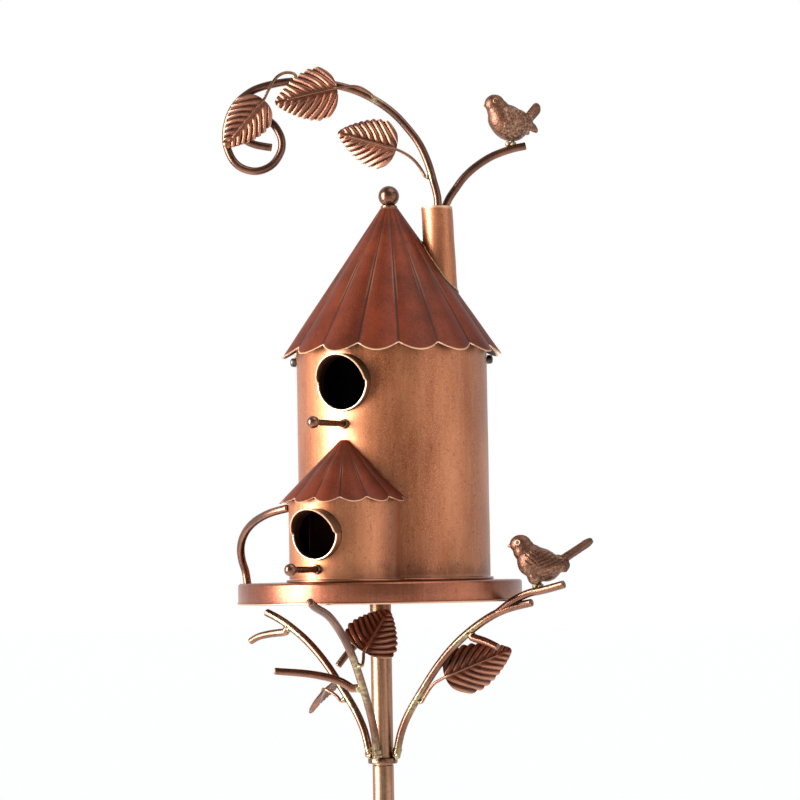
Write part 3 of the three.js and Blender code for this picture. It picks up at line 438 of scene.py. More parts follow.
def rgb(text):
    """A linear colour from an sRGB hex string."""
    parts = [int(text[i : i + 2], 16) / 255 for i in (1, 3, 5)]
    linear = [p / 12.92 if p <= 0.04045 else ((p + 0.055) / 1.055) ** 2.4 for p in parts]
    return (*linear, 1)


def add(tree, kind, inputs=(), **settings):
    """Adds a shader node; an input is a value or another node's output."""
    made = tree.nodes.new(kind)
    for key, value in settings.items():
        setattr(made, key, value)
    for key, value in dict(inputs).items():
        if isinstance(value, bpy.types.NodeSocket):
            tree.links.new(value, made.inputs[key])
        else:
            made.inputs[key].default_value = value
    return made


def ramp(tree, value, low, high):
    """Maps low..high to 0..1, clamped."""
    made = add(tree, "ShaderNodeMapRange", {"Value": value, "From Min": low, "From Max": high})
    made.clamp = True
    return made.outputs["Result"]


def mix(tree, share, first, second, blend="MIX"):
    inputs = {"Fac": share, "Color1": first, "Color2": second}
    return add(tree, "ShaderNodeMixRGB", inputs, blend_type=blend).outputs["Color"]


def times(tree, first, second):
    return add(tree, "ShaderNodeMath", {0: first, 1: second}, operation="MULTIPLY").outputs[0]


def grain(tree, scale, detail=4, stretch=(1, 1, 1), rough=0.55):
    """Noise over the part, with a scale per metre, drawn out along an axis by the stretch."""
    where = add(tree, "ShaderNodeTexCoord").outputs["Object"]
    placed = add(tree, "ShaderNodeMapping", {"Vector": where, "Scale": stretch}).outputs["Vector"]
    inputs = {"Vector": placed, "Scale": scale, "Detail": detail, "Roughness": rough}
    return add(tree, "ShaderNodeTexNoise", inputs).outputs["Fac"]


def attribute(tree, name):
    return add(tree, "ShaderNodeAttribute", attribute_name=name).outputs["Fac"]


def blank_material(name):
    """A new material, its node tree and its shader."""
    material = bpy.data.materials.new(name)
    material.use_nodes = True
    return material, material.node_tree, material.node_tree.nodes["Principled BSDF"]


def roughen(tree, shader, height, strength, distance):
    """Gives a shader a fine relief from a height."""
    relief = {"Height": height, "Strength": strength, "Distance": distance}
    tree.links.new(add(tree, "ShaderNodeBump", relief).outputs["Normal"], shader.inputs["Normal"])


PIT_TONE = "#3a2214"
WORN_TONE = "#e3a877"
HIGHLIGHT_AND_WEAR_TONE = "#f2d2b0"
SHADE_AND_DARKENING_TONE = "#241c19"
PATINA_TONES = ("#6f6a45", "#a39a78")


def copper(name, tones, rough, streak, blotch=14, drawn=1.0, fleck=0.35, coat=0.35, bump=0.12):
    """Aged copper plate: cloudy tone, brushed streaks, rubbed corners and weld patina, with painted shade and
    other darkening from the groove layer and painted highlights from the edge layer.

    Blotch is the clouds' scale per metre, drawn stretches them upwards, and streak and fleck are how much
    of the light tone the brushing and the fine grain show.
    """
    dark, mid, light = tones.split()
    material, tree, shader = blank_material(name)
    cloud = grain(tree, blotch, 5, (1, 1, drawn))
    brushed = grain(tree, 60, 3, (6, 6, 0.35))
    fine = grain(tree, 1100, 2)
    pits = grain(tree, 420, 3)
    corners = add(tree, "ShaderNodeNewGeometry").outputs["Pointiness"]
    tone = mix(tree, ramp(tree, cloud, 0.34, 0.66), rgb(dark), rgb(mid))
    for value, low, high, share, tint in (
        (brushed, 0.42, 0.72, streak, light),
        (fine, 0.5, 0.78, fleck, light),
        (pits, 0.6, 0.72, 0.5, PIT_TONE),
        (corners, 0.53, 0.62, 0.55, WORN_TONE),
    ):
        tone = mix(tree, times(tree, ramp(tree, value, low, high), share), tone, rgb(tint))
    # The edge layer paints highlights on rims, ridges, bead and eaves
    tone = mix(tree, attribute(tree, "edge"), tone, rgb(HIGHLIGHT_AND_WEAR_TONE))
    # The groove layer paints shade in hollows, insides, creases and undersides, dark patina in the roof's
    # creases, and darkening at the walls' feet
    tone = mix(tree, attribute(tree, "groove"), tone, rgb(SHADE_AND_DARKENING_TONE))
    green = mix(tree, grain(tree, 260, 3), rgb(PATINA_TONES[0]), rgb(PATINA_TONES[1]))
    patina = times(tree, attribute(tree, "weld"), ramp(tree, grain(tree, 330, 4), 0.36, 0.6))
    tone = mix(tree, patina, tone, green)
    tree.links.new(tone, shader.inputs["Base Color"])
    shader.inputs["Metallic"].default_value = 0.9
    shader.inputs["Coat Weight"].default_value = coat
    shader.inputs["Coat Roughness"].default_value = 0.3
    uneven = add(tree, "ShaderNodeMapRange", {"Value": pits, "To Min": rough - 0.07, "To Max": rough + 0.1})
    tree.links.new(uneven.outputs["Result"], shader.inputs["Roughness"])
    roughen(tree, shader, mix(tree, 0.5, fine, brushed), bump, 0.0004)
    return material


def dark_steel():
    """Dull dark grey metal of the screws, rivets and spigots."""
    material, tree, shader = blank_material("dark_steel")
    tone = mix(tree, ramp(tree, grain(tree, 300, 4), 0.35, 0.65), rgb("#2b2a28"), rgb("#5b5853"))
    tree.links.new(tone, shader.inputs["Base Color"])
    shader.inputs["Metallic"].default_value = 0.85
    shader.inputs["Roughness"].default_value = 0.45
    roughen(tree, shader, grain(tree, 900, 3), 0.2, 0.0003)
    return material


COPPER_LOOKS = {
    "wall_copper": {"tones": "#834423 #ae6d47 #cb9772", "rough": 0.44, "streak": 0.12, "fleck": 0.5},
    "roof_copper": {"tones": "#4a1b0b #702e17 #945036", "rough": 0.56, "streak": 0.06, "fleck": 0.3},
    "tray_copper": {"tones": "#6c3520 #8c4f33 #b57c5a", "rough": 0.33, "streak": 0.1},
    "rod_copper": {"tones": "#492818 #6e4530 #b08a6a", "rough": 0.25, "streak": 0.05, "fleck": 0.1},
    "leaf_copper": {"tones": "#57281a #7a4029 #b47c5a", "rough": 0.3, "streak": 0},
    "bird_copper": {"tones": "#4b2a1c #6b4533 #ab8468", "rough": 0.46, "streak": 0},
    "pole_copper": {"tones": "#6f4630 #8c5f44 #bb9172", "rough": 0.34, "streak": 0.3},
}
COPPER_LOOKS["wall_copper"] |= {"blotch": 20, "drawn": 0.4}
COPPER_LOOKS["roof_copper"] |= {"blotch": 26, "coat": 0.1}
COPPER_LOOKS["rod_copper"] |= {"blotch": 30, "bump": 0.02}
COPPER_LOOKS["leaf_copper"] |= {"blotch": 45, "coat": 0.2}
COPPER_LOOKS["bird_copper"] |= {"blotch": 60, "coat": 0.1}
MATERIALS = {name: copper(name, **look) for name, look in COPPER_LOOKS.items()}
MATERIALS["dark_steel"] = dark_steel()


# --- pole and ground fork


def upright(node, bore=0.0, edge=0.5, segments=64):
    """A solid cylinder, or a ring round a bore, that fills its CAD node's box."""
    low, high = box(node)
    radius = half_width(node)
    corners = [(bore, low.z), (radius, low.z), (radius, high.z), (bore, high.z)]
    bm = blank()
    turned(bm, rounded(corners, edge), Matrix.Translation((*middle(node).xy, 0)), segments)
    return bm


def pole():
    """The tubes, with a run of weld at the joint under the ring, and the spigots inside them."""
    for node in ("pole_lower", "pole_upper", "head_tube"):
        bm = upright(node, half_width(node) - SHEET)
        if node != "pole_lower":
            seam = Vector((5.2, -7.4, box("head_tube")[0].z - 5))
            mark_near(bm, "weld", [seam], 7)
        show(node, bm)
    for node in ("pole_spigot", "head_spigot"):
        show(node, upright(node, half_width(node) - SHEET))


def ground_fork():
    """The hub is a cup that the pole stands in; each prong runs out level, bends and ends in a point."""
    low, high = box("ground_hub")
    radius = half_width("ground_hub")
    bore = half_width("pole_lower") + GAP
    seat = low.z + 4
    outline = [(0, low.z), (radius, low.z), (radius, high.z), (bore, high.z), (bore, seat), (0, seat)]
    bm = blank()
    turned(bm, rounded(outline, 1.0), segments=64)
    show("ground_hub", bm)
    for index in range(4):
        node = f"ground_prong_{index + 1}"
        low, high = box(node)
        out = math.copysign(1, low.x + high.x), math.copysign(1, low.y + high.y)
        ahead = Vector((*out, 0)).normalized()
        reach = max(abs(low.x), abs(high.x)) * math.sqrt(2) - ROD_RADIUS * 0.6
        level = high.z - ROD_RADIUS
        bend = 6
        course = [(radius + GAP, level), (reach - bend, level)]
        for turn in (0.35, 0.7, 1.05, 1.4):
            course.append((reach - bend + bend * math.sin(turn), level - bend * (1 - math.cos(turn))))
        course += [(reach, level - 2 * bend), (reach, low.z)]
        line = [ahead * away + up(height) for away, height in course]
        start = line[0]
        bm = blank()
        sweep(bm, smooth_line(line, 2), lambda s: ROD_RADIUS * min(1, (1.005 - s) / 0.06 + 0.08))
        lump(bm, start, 3.4, index)
        mark_near(bm, "weld", [start], 9)
        show(node, bm)


# --- tray, flange and floor


def tray():
    """A round pan upside down, its rim beaded below and rounded above, a little uneven."""
    low, high = TRAY_LOW.z, TRAY_HIGH.z
    bead, round_off, upper = 0.9, 2.2, low + 8
    radius = half_width("tray") - 0.8
    inner, ceiling = radius - SHEET, high - SHEET
    profile = [(inner, low + 0.6), (inner + 0.3, low)]
    profile += arc((radius - 0.1, low + bead), bead, -90, 90, 6)
    profile += [(radius, low + 2.1), (radius, upper)]
    profile += arc((radius - round_off, high - round_off), round_off, 0, 90, 6)
    profile += [(radius * share, high) for share in (0.9, 0.7, 0.45, 0.2)] + [(0, high), (0, ceiling)]
    profile += [(radius * 0.5, ceiling), (inner, ceiling), (inner, upper)]
    bm = blank()
    turned(bm, profile, segments=240)
    edge = layer(bm, "edge")
    for vert in bm.verts:
        flat = Vector((vert.co.x, vert.co.y, 0))
        if flat.length > radius * 0.8 and vert.co.z < high - SHEET / 2:
            out = flat.normalized()
            vert.co += out * 0.22 * noise.noise(vert.co * 0.045)
            vert.co.z += 0.12 * noise.noise(vert.co * 0.03 + Vector((9, 0, 0)))
        # The bead's outside gets a painted highlight
        if vert.co.z < low + 1 and flat.length > radius:
            vert[edge] = 0.35
    show("tray", bm)


def floor_plate():
    """Two discs in one plate, under the tower and under the annex."""
    low, high = box("floor_plate")
    big = half_width("floor_plate")
    small = ANNEX_AXIS.y - low.y
    apart = TOWER_AXIS.y - ANNEX_AXIS.y
    meet = (apart**2 + big**2 - small**2) / (2 * apart)
    big_turn = math.acos(meet / big)
    small_turn = math.acos((apart - meet) / small)
    big_steps, small_steps = 120, 60
    outline = []
    for index in range(big_steps + 1):
        turn = -math.pi / 2 + big_turn + (2 * math.pi - 2 * big_turn) * index / big_steps
        outline.append(TOWER_AXIS + compass(turn).xy * big)
    for index in range(1, small_steps):
        turn = math.pi / 2 + small_turn + (2 * math.pi - 2 * small_turn) * index / small_steps
        outline.append(ANNEX_AXIS + compass(turn).xy * small)
    bm = blank()
    rows = []
    courses = [(low.z, 0.4), (low.z + 0.4, 0), (high.z - 0.5, 0), (high.z - 0.15, 0.15), (high.z, 0.5)]
    for level, shrink in courses:
        row = []
        for index, here in enumerate(outline):
            ahead = outline[(index + 1) % len(outline)] - outline[index - 1]
            out = Vector((ahead.y, -ahead.x)).normalized()
            row.append(Vector((*(here - out * shrink), level)))
        rows.append(row)
    skin(bm, rows, caps=True)
    show("floor_plate", bm, sharp=50)


def flange():
    """The ring under the tray and its rivets, which have a domed head at both ends."""
    show("pole_flange", upright("pole_flange", half_width("head_tube") + GAP, segments=96))
    head, deep, shank = 4.2, 2.2, 2.0
    dome = [(0, 0), (head * 0.45, 0.15), (head * 0.8, 0.9), (head, deep), (shank, deep)]
    for index in range(3):
        node = f"flange_rivet_{index + 1}"
        low, high = box(node)
        profile = [(size, low.z + depth) for size, depth in dome]
        profile += [(size, high.z - depth) for size, depth in reversed(dome)]
        bm = blank()
        turned(bm, profile, Matrix.Translation((*middle(node).xy, 0)), 32, closed=False)
        show(node, bm)


# --- tower and annex

WALL_STEP = 2.4
WALL_COURSES = 60
# How far up from its foot a wall is painted darker, in millimetres
FOOT_DARKENING_REACH = 14


def wall_shell(bm, axis, radius, low, high, first=0.0, last=2 * math.pi):
    """An upright wall of thin sheet, all round the axis or over a range of angles, painted dark inside as
    shade and unevenly darker towards its foot.
    """
    full = last - first > 2 * math.pi - 1e-6
    steps = round((last - first) * radius / WALL_STEP)
    turns = [first + (last - first) * index / steps for index in range(steps if full else steps + 1)]
    levels = [low + (high - low) * index / WALL_COURSES for index in range(WALL_COURSES + 1)]
    outer = [(radius, level) for level in levels]
    inner = [(radius - SHEET, level) for level in reversed(levels)]
    rows = []
    for size, level in outer + inner:
        ring = []
        for turn in turns:
            out = compass(turn)
            grainy = size + 0.12 * noise.noise(out * 2.2 + up(level * 0.03))
            ring.append(Vector((*axis, level)) + out * grainy)
        rows.append(ring)
    grid = skin(bm, rows, around=full, over=True)
    half = len(outer)
    painted_dark = layer(bm, "groove")
    # Outside: unevenly darker towards the foot
    for row in grid[:half]:
        for vert in row:
            foot_darkening = 1 - (vert.co.z - low) / FOOT_DARKENING_REACH + 0.9 * noise.noise(vert.co * 0.12)
            vert[painted_dark] = 0.35 * min(1, max(0, foot_darkening))
    # Inside: painted shade
    for row in grid[half:]:
        for vert in row:
            vert[painted_dark] = 1
    if not full:
        for column in (0, -1):
            for index in range(half - 1):
                a, b = grid[index][column], grid[index + 1][column]
                c, d = grid[2 * half - 2 - index][column], grid[2 * half - 1 - index][column]
                bm.faces.new((a, b, c, d))


def front_bar(node, axis, radius):
    """The bar that cuts the hole for a piece on the front of a wall."""
    centre = Vector((*axis, middle(node).z))
    return centre, centre + Vector((0, -3 * TOWER_RADIUS, 0)), radius


def collar_bar(node, axis, play=COLLAR_HOLE_PLAY):
    return front_bar(node, axis, half_width(node) + play)


def screw_bar(drop=0):
    """The bar that cuts both roof screws' holes, lowered by the drop."""
    across = RIGHT_HAND * 2 * TOWER_RADIUS
    centre = Vector((*TOWER_AXIS, middle("roof_screw_right").z - drop))
    return centre - across, centre + across, SCREW_HOLE


def tower_wall():
    low, high = box("tower_wall")
    bm = blank()
    wall_shell(bm, TOWER_AXIS, TOWER_RADIUS, low.z, high.z)
    made = show("tower_wall", bm)
    perch_hole = front_bar("tower_perch", TOWER_AXIS, PERCH_HOLE)
    drill(made, [collar_bar("tower_collar", TOWER_AXIS), perch_hole, screw_bar()])


def annex_wall():
    """The annex's wall ends where it meets the tower's."""
    low, high = box("annex_wall")
    reach = TOWER_RADIUS + GAP
    apart = TOWER_AXIS.y - ANNEX_AXIS.y
    rise = math.asin((ANNEX_RADIUS**2 + apart**2 - reach**2) / (2 * ANNEX_RADIUS * apart))
    bm = blank()
    wall_shell(bm, ANNEX_AXIS, ANNEX_RADIUS, low.z, high.z, math.pi - rise, 2 * math.pi + rise)
    made = show("annex_wall", bm)
    drill(made, [collar_bar("annex_collar", ANNEX_AXIS), front_bar("annex_perch", ANNEX_AXIS, PERCH_HOLE)])


def collar(node, wall_radius, axis):
    """A short tube, its lower half a low lip and its upper half drawn out into a visor."""
    low, high = box(node)
    radius = half_width(node)
    centre = middle(node).z
    wall = axis.y - wall_radius
    visor = wall - low.y
    inner = radius - COLLAR_SHEET
    rim = radius - COLLAR_SHEET / 2 + 0.1
    bead = 0.68
    rows = []
    turns = circle(192)
    for turn in turns:
        height = math.sin(turn)
        step = min(1.0, max(0.0, height / 0.1))
        front = COLLAR_LIP + (visor - COLLAR_LIP) * step * (0.2 + 0.8 * max(0.0, height))
        out = Vector((math.cos(turn), 0, height))
        lip = wall - front
        section = [(radius, high.y), (radius, wall), (radius, wall - front * 0.5), (radius, lip + 1.2)]
        for degrees in (0, -35, -70, -90, -110, -145, -180):
            a = math.radians(degrees)
            section.append((rim + bead * math.cos(a), lip + 0.7 + bead * math.sin(a)))
        section += [(inner, lip + 1.4), (inner, wall), (inner, high.y)]
        rows.append([Vector((axis.x, y, centre)) + out * size for size, y in section])
    bm = blank()
    grid = skin(bm, rows, around=True, over=True)
    edge, weld, painted_dark = layer(bm, "edge"), layer(bm, "weld"), layer(bm, "groove")
    for turn, row in zip(turns, grid):
        height = math.sin(turn)
        # The rim's bead gets a painted highlight, brighter on the lower half
        for vert in row[4:11]:
            vert[edge] = 0.85 if height < 0.12 else 0.35
        # Painted shade inside the tube
        for vert in row[12:]:
            vert[painted_dark] = 0.9
        # Painted shade outside, heavier on the upper half as the roof's shadow; patina towards the top
        for vert in row[:4]:
            vert[painted_dark] = 0.7 if height > 0.05 else 0.35
            vert[weld] = 0.6 * max(0.0, height)
    show(node, bm, sharp=60)


def perch(node, wall_radius, axis):
    """A short bar with a ball on its end, and the small washer at its root."""
    bar = PERCH_RADIUS
    ball = max(half_width(node), 4.6)
    wall = axis.y - wall_radius
    place = Matrix.Translation((axis.x, wall, middle(node).z)) @ Matrix.Rotation(math.pi / 2, 4, "X")
    length = wall - box(node)[0].y - ball
    neck = math.degrees(math.acos(bar / ball))
    profile = [(0, -3.2), (bar, -3.2), (bar, 2), (bar, length * 0.5), (bar, length - 6)]
    profile += list(arc((0, length), ball, -neck, 90, 14))
    profile[-1] = (0, length + ball)
    bm = blank()
    turned(bm, profile, place, 40, closed=False)
    show(node, bm)
    bm = blank()
    bore = bar + GAP
    turned(bm, rounded([(bore, GAP), (4, GAP), (3.4, 2.7), (bore, 2.7)], 0.6), place, 40)
    mark_near(bm, "weld", [place.translation], 6)
    show(f"{node}_washer", bm)


# --- roofs


class Fluted:
    """The fluted sheet cone of both roofs, on its own axis, with its eave's lowest point at height 0."""

    def __init__(self, node, axis, flutes, notch, crease, tip_radius, phase):
        low, high = box(node)
        self.axis = Vector((*axis, low.z))
        self.radius = half_width(node)
        self.flutes = flutes
        self.notch = notch
        self.crease = crease
        self.tip_radius = tip_radius
        self.phase = phase
        self.height = (high.z - low.z) / (1 - tip_radius / self.radius)

    def valley(self, turn):
        """1 in a crease and 0 on the back of a flute."""
        return 1 - abs(math.sin(self.flutes * (turn - self.phase) / 2))

    def at(self, share, turn, inset=0.0):
        """Radius and height at a share of the way from the eave to the tip."""
        spread = 1 - share * (1 - self.tip_radius / self.radius)
        valley = self.valley(turn)
        level = self.height * (1 - spread) + self.notch * valley * spread**3
        on_cone = self.radius * (1 - level / self.height)
        return on_cone - self.crease * valley * spread - inset, level

    def level_at(self, radius, turn):
        """The height of the roof's outside at a radius."""
        low, high = 0.0, 1.0
        for _ in range(30):
            half = (low + high) / 2
            if self.at(half, turn)[0] > radius:
                low = half
            else:
                high = half
        return self.at(low, turn)[1]

    def build(self, bm, per_flute=18, rings=46):
        """Adds the sheet; its creases are painted dark, partly as shade and partly as dark patina, with a
        faint painted highlight beside them, its underside is painted as shade, and its eave gets a painted
        highlight.
        """
        turns = [self.phase + turn for turn in circle(self.flutes * per_flute)]
        shares = [(index / rings) ** 1.15 for index in range(rings + 1)]
        inset = SHEET * math.hypot(1, self.radius / self.height)
        courses = [(share, 0.0) for share in shares] + [(share, inset) for share in reversed(shares)]
        rows = []
        for share, depth in courses:
            ring = []
            for turn in turns:
                radius, level = self.at(share, turn, depth)
                out = compass(turn)
                dent = 0.35 * noise.noise(out * 3.1 + up(level * 0.05)) * (1 - share)
                ring.append(self.axis + out * (radius + dent) + up(level))
            rows.append(ring)
        edge, groove = layer(bm, "edge"), layer(bm, "groove")
        valleys = [self.valley(turn) for turn in turns]
        for (share, depth), row in zip(courses, skin(bm, rows, over=True)):
            width = 0.10 + 0.25 * share
            for vert, valley in zip(row, valleys):
                line = max(0.0, 1 - (1 - valley) / width)
                # Underside painted as shade; creases painted dark as shade and dark patina, with a faint
                # painted highlight beside them
                vert[groove] = 1 if depth else min(0.92, line**1.3)
                vert[edge] = 0.12 * (1 - abs(line - 0.25) / 0.25) if 0 < line < 0.5 and not depth else 0
                # The eave gets a painted highlight
                if share < 0.006:
                    vert[edge] = 0.5 if valley < 0.8 else 1.0
                    vert[groove] = 0


FRONT = -math.pi / 2
MAIN_ROOF = Fluted("main_roof", TOWER_AXIS, 16, notch=6, crease=2.4, tip_radius=6, phase=FRONT + math.pi / 16)
ANNEX_ROOF = Fluted("annex_roof", ANNEX_AXIS, 14, notch=3.5, crease=1.6, tip_radius=2.8, phase=FRONT)


def roofs():
    bm = blank()
    MAIN_ROOF.build(bm)
    show("main_roof", bm, sharp=50)
    bm = blank()
    ANNEX_ROOF.build(bm, rings=30)
    made = show("annex_roof", bm, sharp=50)
    foot = Vector((*TOWER_AXIS, box("annex_roof")[0].z - 5))
    drill(made, [(foot, foot + up(90), TOWER_RADIUS + GAP)], 50)


def skirt():
    """The ring that drops into the tower, open round the entrance and slotted over both screws."""
    inner = half_width("roof_skirt") - SHEET
    bm = upright("roof_skirt", inner, 0.3, 128)
    # Painted shade: the inside fully dark, the outside under the roof a little darker
    painted_dark = layer(bm, "groove")
    for vert in bm.verts:
        vert[painted_dark] = 1.0 if (vert.co.xy - TOWER_AXIS).length < inner + SHEET / 2 else 0.3
    made = show("roof_skirt", bm)
    for drop in range(0, SCREW_SLOT + 1, 3):
        drill(made, [screw_bar(drop)])
    drill(made, [collar_bar("tower_collar", TOWER_AXIS, SKIRT_CLEAR)])


def finial():
    """A ball on a small collar, with a stud that goes down through the roof's tip."""
    low, high = box("finial")
    centre = high.z - FINIAL_RADIUS
    foot = centre - FINIAL_RADIUS
    stud = 3.6
    profile = [(0, low.z), (stud, low.z), (stud, foot - 1.5)]
    profile += [(6.4, foot - 0.6), (6.2, foot + 0.5), (4.6, foot + 1.4)]
    profile += list(arc((0, centre), FINIAL_RADIUS, -52, 90, 24))
    profile[-1] = (0, high.z)
    bm = blank()
    turned(bm, profile, Matrix.Translation((*TOWER_AXIS, 0)), 64, closed=False)
    # A darker band where the ball meets its collar
    groove = layer(bm, "groove")
    for vert in bm.verts:
        if abs(vert.co.z - (foot + 1.2)) < 0.6:
            vert[groove] = 0.6
    show("finial", bm)


CHIMNEY_LEAN = math.tan(math.radians(2.5))


def chimney():
    """The chimney's foot follows the roof's flutes; a bead of solder runs round it."""
    low, high = box("chimney_tube")
    top = middle("chimney_tube").xy
    radius = half_width("chimney_tube")
    aside = RIGHT_HAND.xy * CHIMNEY_LEAN
    steps = 96
    levels = 24
    bead, rows = [], []
    for turn in circle(steps):
        out = compass(turn).xy
        column = []
        for size in (radius, radius - SHEET):
            foot = low.z + 30
            for _ in range(5):
                spot = top + aside * (high.z - foot) + out * size - TOWER_AXIS
                foot = MAIN_ROOF.axis.z + MAIN_ROOF.level_at(spot.length, math.atan2(spot.y, spot.x)) + GAP
            side = []
            for step in range(levels + 1):
                height = foot + (high.z - foot) * step / levels
                dent = 0.3 * noise.noise(Vector((out.x * 1.3, out.y * 1.3, height * 0.05)))
                side.append(Vector((*(top + aside * (high.z - height) + out * (size + dent)), height)))
            column.append(side)
            if size == radius:
                bead.append(column[-1][0] + Vector((*(out * 0.3), 0.1)))
        rim = [Vector((*(top + out * (radius - 0.4)), high.z + 0.25))]
        rim.append(Vector((*(top + out * (radius - SHEET + 0.3)), high.z + 0.2)))
        rows.append(column[0] + rim + column[1][::-1])
    bm = blank()
    grid = skin(bm, rows, around=True, over=True)
    edge, groove = layer(bm, "edge"), layer(bm, "groove")
    # The rim gets a painted highlight; the foot, where it meets the roof, is painted darker
    for row in grid:
        for vert in row[levels : levels + 4]:
            vert[edge] = 0.5
        row[0][groove] = 0.7
    sweep_ring(bm, bead, 0.75)
    lump(bm, bead[steps * 5 // 8] + Vector((-1.5, -1.0, 1.2)), 1.9, 5)
    show("chimney_tube", bm, sharp=50)
    show("chimney_cap", upright("chimney_cap", edge=0.4))


def sweep_ring(bm, line, size, sides=8):
    """Adds a closed uneven bead along a loop of points."""
    rows = []
    weld = layer(bm, "weld")
    count = len(line)
    for index, point in enumerate(line):
        ahead = (line[(index + 1) % count] - line[index - 1]).normalized()
        side = ahead.cross(up(1)).normalized()
        other = ahead.cross(side)
        fat = size * (1 + 0.5 * noise.noise(point * 0.5))
        ring = []
        for turn in circle(sides):
            ring.append(point + (side * math.cos(turn) + other * math.sin(turn)) * fat)
        rows.append(ring)
    for row in skin(bm, rows, over=True):
        for vert in row:
            vert[weld] = 1


# --- rods, stems and welds

JOINTS = {
    "vine_rod": ["vine_leaf_tip_stem", "vine_leaf_middle_stem", "vine_leaf_low_stem"],
    "arm_right": ["twig_right", "leaf_right_stem"],
    "arm_front": ["twig_front", "leaf_front_stem"],
    "arm_left": ["twig_left", "leaf_left_stem"],
    "arm_back": ["twig_back"],
}
PARENT_OF = {child: parent for parent, children in JOINTS.items() for child in children}
# Rods that run on into what holds them, and how far their far end does
ROOT_BEYOND = {"side_scroll": 2.2, "upper_branch": 0.2, "vine_rod": 0.2}
ROD_WELD = 3.3
STEM_WELD = 2.1


def joined_to_parent(node, line):
    """The line with its near end carried on into the rod that it is welded to, that end first."""
    if node not in PARENT_OF:
        return line
    parent = LINES[PARENT_OF[node]]
    if min((p - line[-1]).length for p in parent) < min((p - line[0]).length for p in parent):
        line = line[::-1]
    return [nearest_on(parent, line[0]).lerp(line[0], 0.25), *line]


def lower_end(line):
    return min((line[0], line[-1]), key=lambda p: p.z)


def rods():
    """Every rod, with a weld bead where another one or a leaf's stem joins it, and the ring at their feet."""
    for number, (node, line) in enumerate(LINES.items()):
        line = joined_to_parent(node, line)
        if node == "lower_branch":
            line = branch_off_the_arm(line)
        if node in ROOT_BEYOND:
            line = [line[0] - (line[1] - line[0]).normalized() * 1.6, *line]
            line.append(line[-1] + (line[-1] - line[-2]).normalized() * ROOT_BEYOND[node])
        bm = blank()
        sweep(bm, line, lambda share, node=node: ROD_RADIUS * rod_taper(node, share))
        spots = []
        for child in JOINTS.get(node, []):
            child_line = LINES.get(child) or STEM_LINES[child]
            end = min((child_line[0], child_line[-1]), key=lambda e: (nearest_on(line, e) - e).length)
            on_line = nearest_on(line, end)
            towards_child, size = (0.35, ROD_WELD) if child in LINES else (0.6, STEM_WELD)
            spots.append(on_line.lerp(end, towards_child))
            lump(bm, spots[-1], size, number + len(spots) - 1)
        reach = 7
        if node.startswith("arm_"):
            foot = lower_end(line)
            lump(bm, foot + up(0.8), 3.5, number)
            lump(bm, foot + Vector((0.6, 0.4, 4)), 3.2, number + 9)
            spots.append(foot)
            reach = 20
        mark_near(bm, "weld", spots, reach)
        show(node, bm)
    bm = upright("arm_ring", half_width("head_tube") + GAP, 1.2, 96)
    feet = [lower_end(LINES[node]) for node in JOINTS if node.startswith("arm_")]
    for vert in bm.verts:
        flat = Vector((vert.co.x, vert.co.y, 0))
        vert.co += flat.normalized() * 0.35 * noise.noise(vert.co * 0.25)
    mark_near(bm, "weld", feet, 8)
    show("arm_ring", bm)


def branch_off_the_arm(line):
    """The bird's branch springs from the top of the right arm just outside the tray's rim."""
    arm = LINES["arm_right"]
    if line[0].x > line[-1].x:
        line = line[::-1]
    rim = TRAY_HIGH.x
    start = nearest_on(arm, Vector((rim - 8, 0, TRAY_LOW.z - 8)))
    under = Vector((rim + 1, 0, TRAY_LOW.z - 2.4))
    beside = Vector((rim + 8, 0, TRAY_LOW.z + 1.6))
    rest = [p for p in line if p.x > rim + 19]
    return smooth_line([start, under, beside, *rest[::6], rest[-1]], LINE_STEP)


def rod_taper(node, share):
    """Twigs thin a little towards their free ends."""
    if node.startswith("twig_"):
        return 1.04 - 0.16 * share
    return 1.0


def stem_radius(share):
    return STEM_RADIUS * (1.1 - 0.62 * max(0, share - 0.3))


def stems():
    """Each stem runs from its rod to the leaf's base and on along the midrib, getting thinner."""
    for node, points in STEM_LINES.items():
        leaf = node[: -len("_stem")]
        place = LEAF_PLACES[leaf][0]
        base = place.translation
        line = from_the_end_near(joined_to_parent(node, points), base)[::-1]
        for share in (0.08, 0.2, 0.35, 0.5, 0.65, 0.8):
            on_leaf = LEAF_FORMS[leaf].surface(share, 0.0)
            line.append(place @ (on_leaf + up(0.9)))
        bm = blank()
        sweep(bm, smooth_line(line, 1.0), stem_radius, 12, 0.4)
        mark_near(bm, "weld", [line[0]], 8)
        show(node, bm)


# --- leaves

LEAF_PLEATS = 8
LEAF_CURL = 2


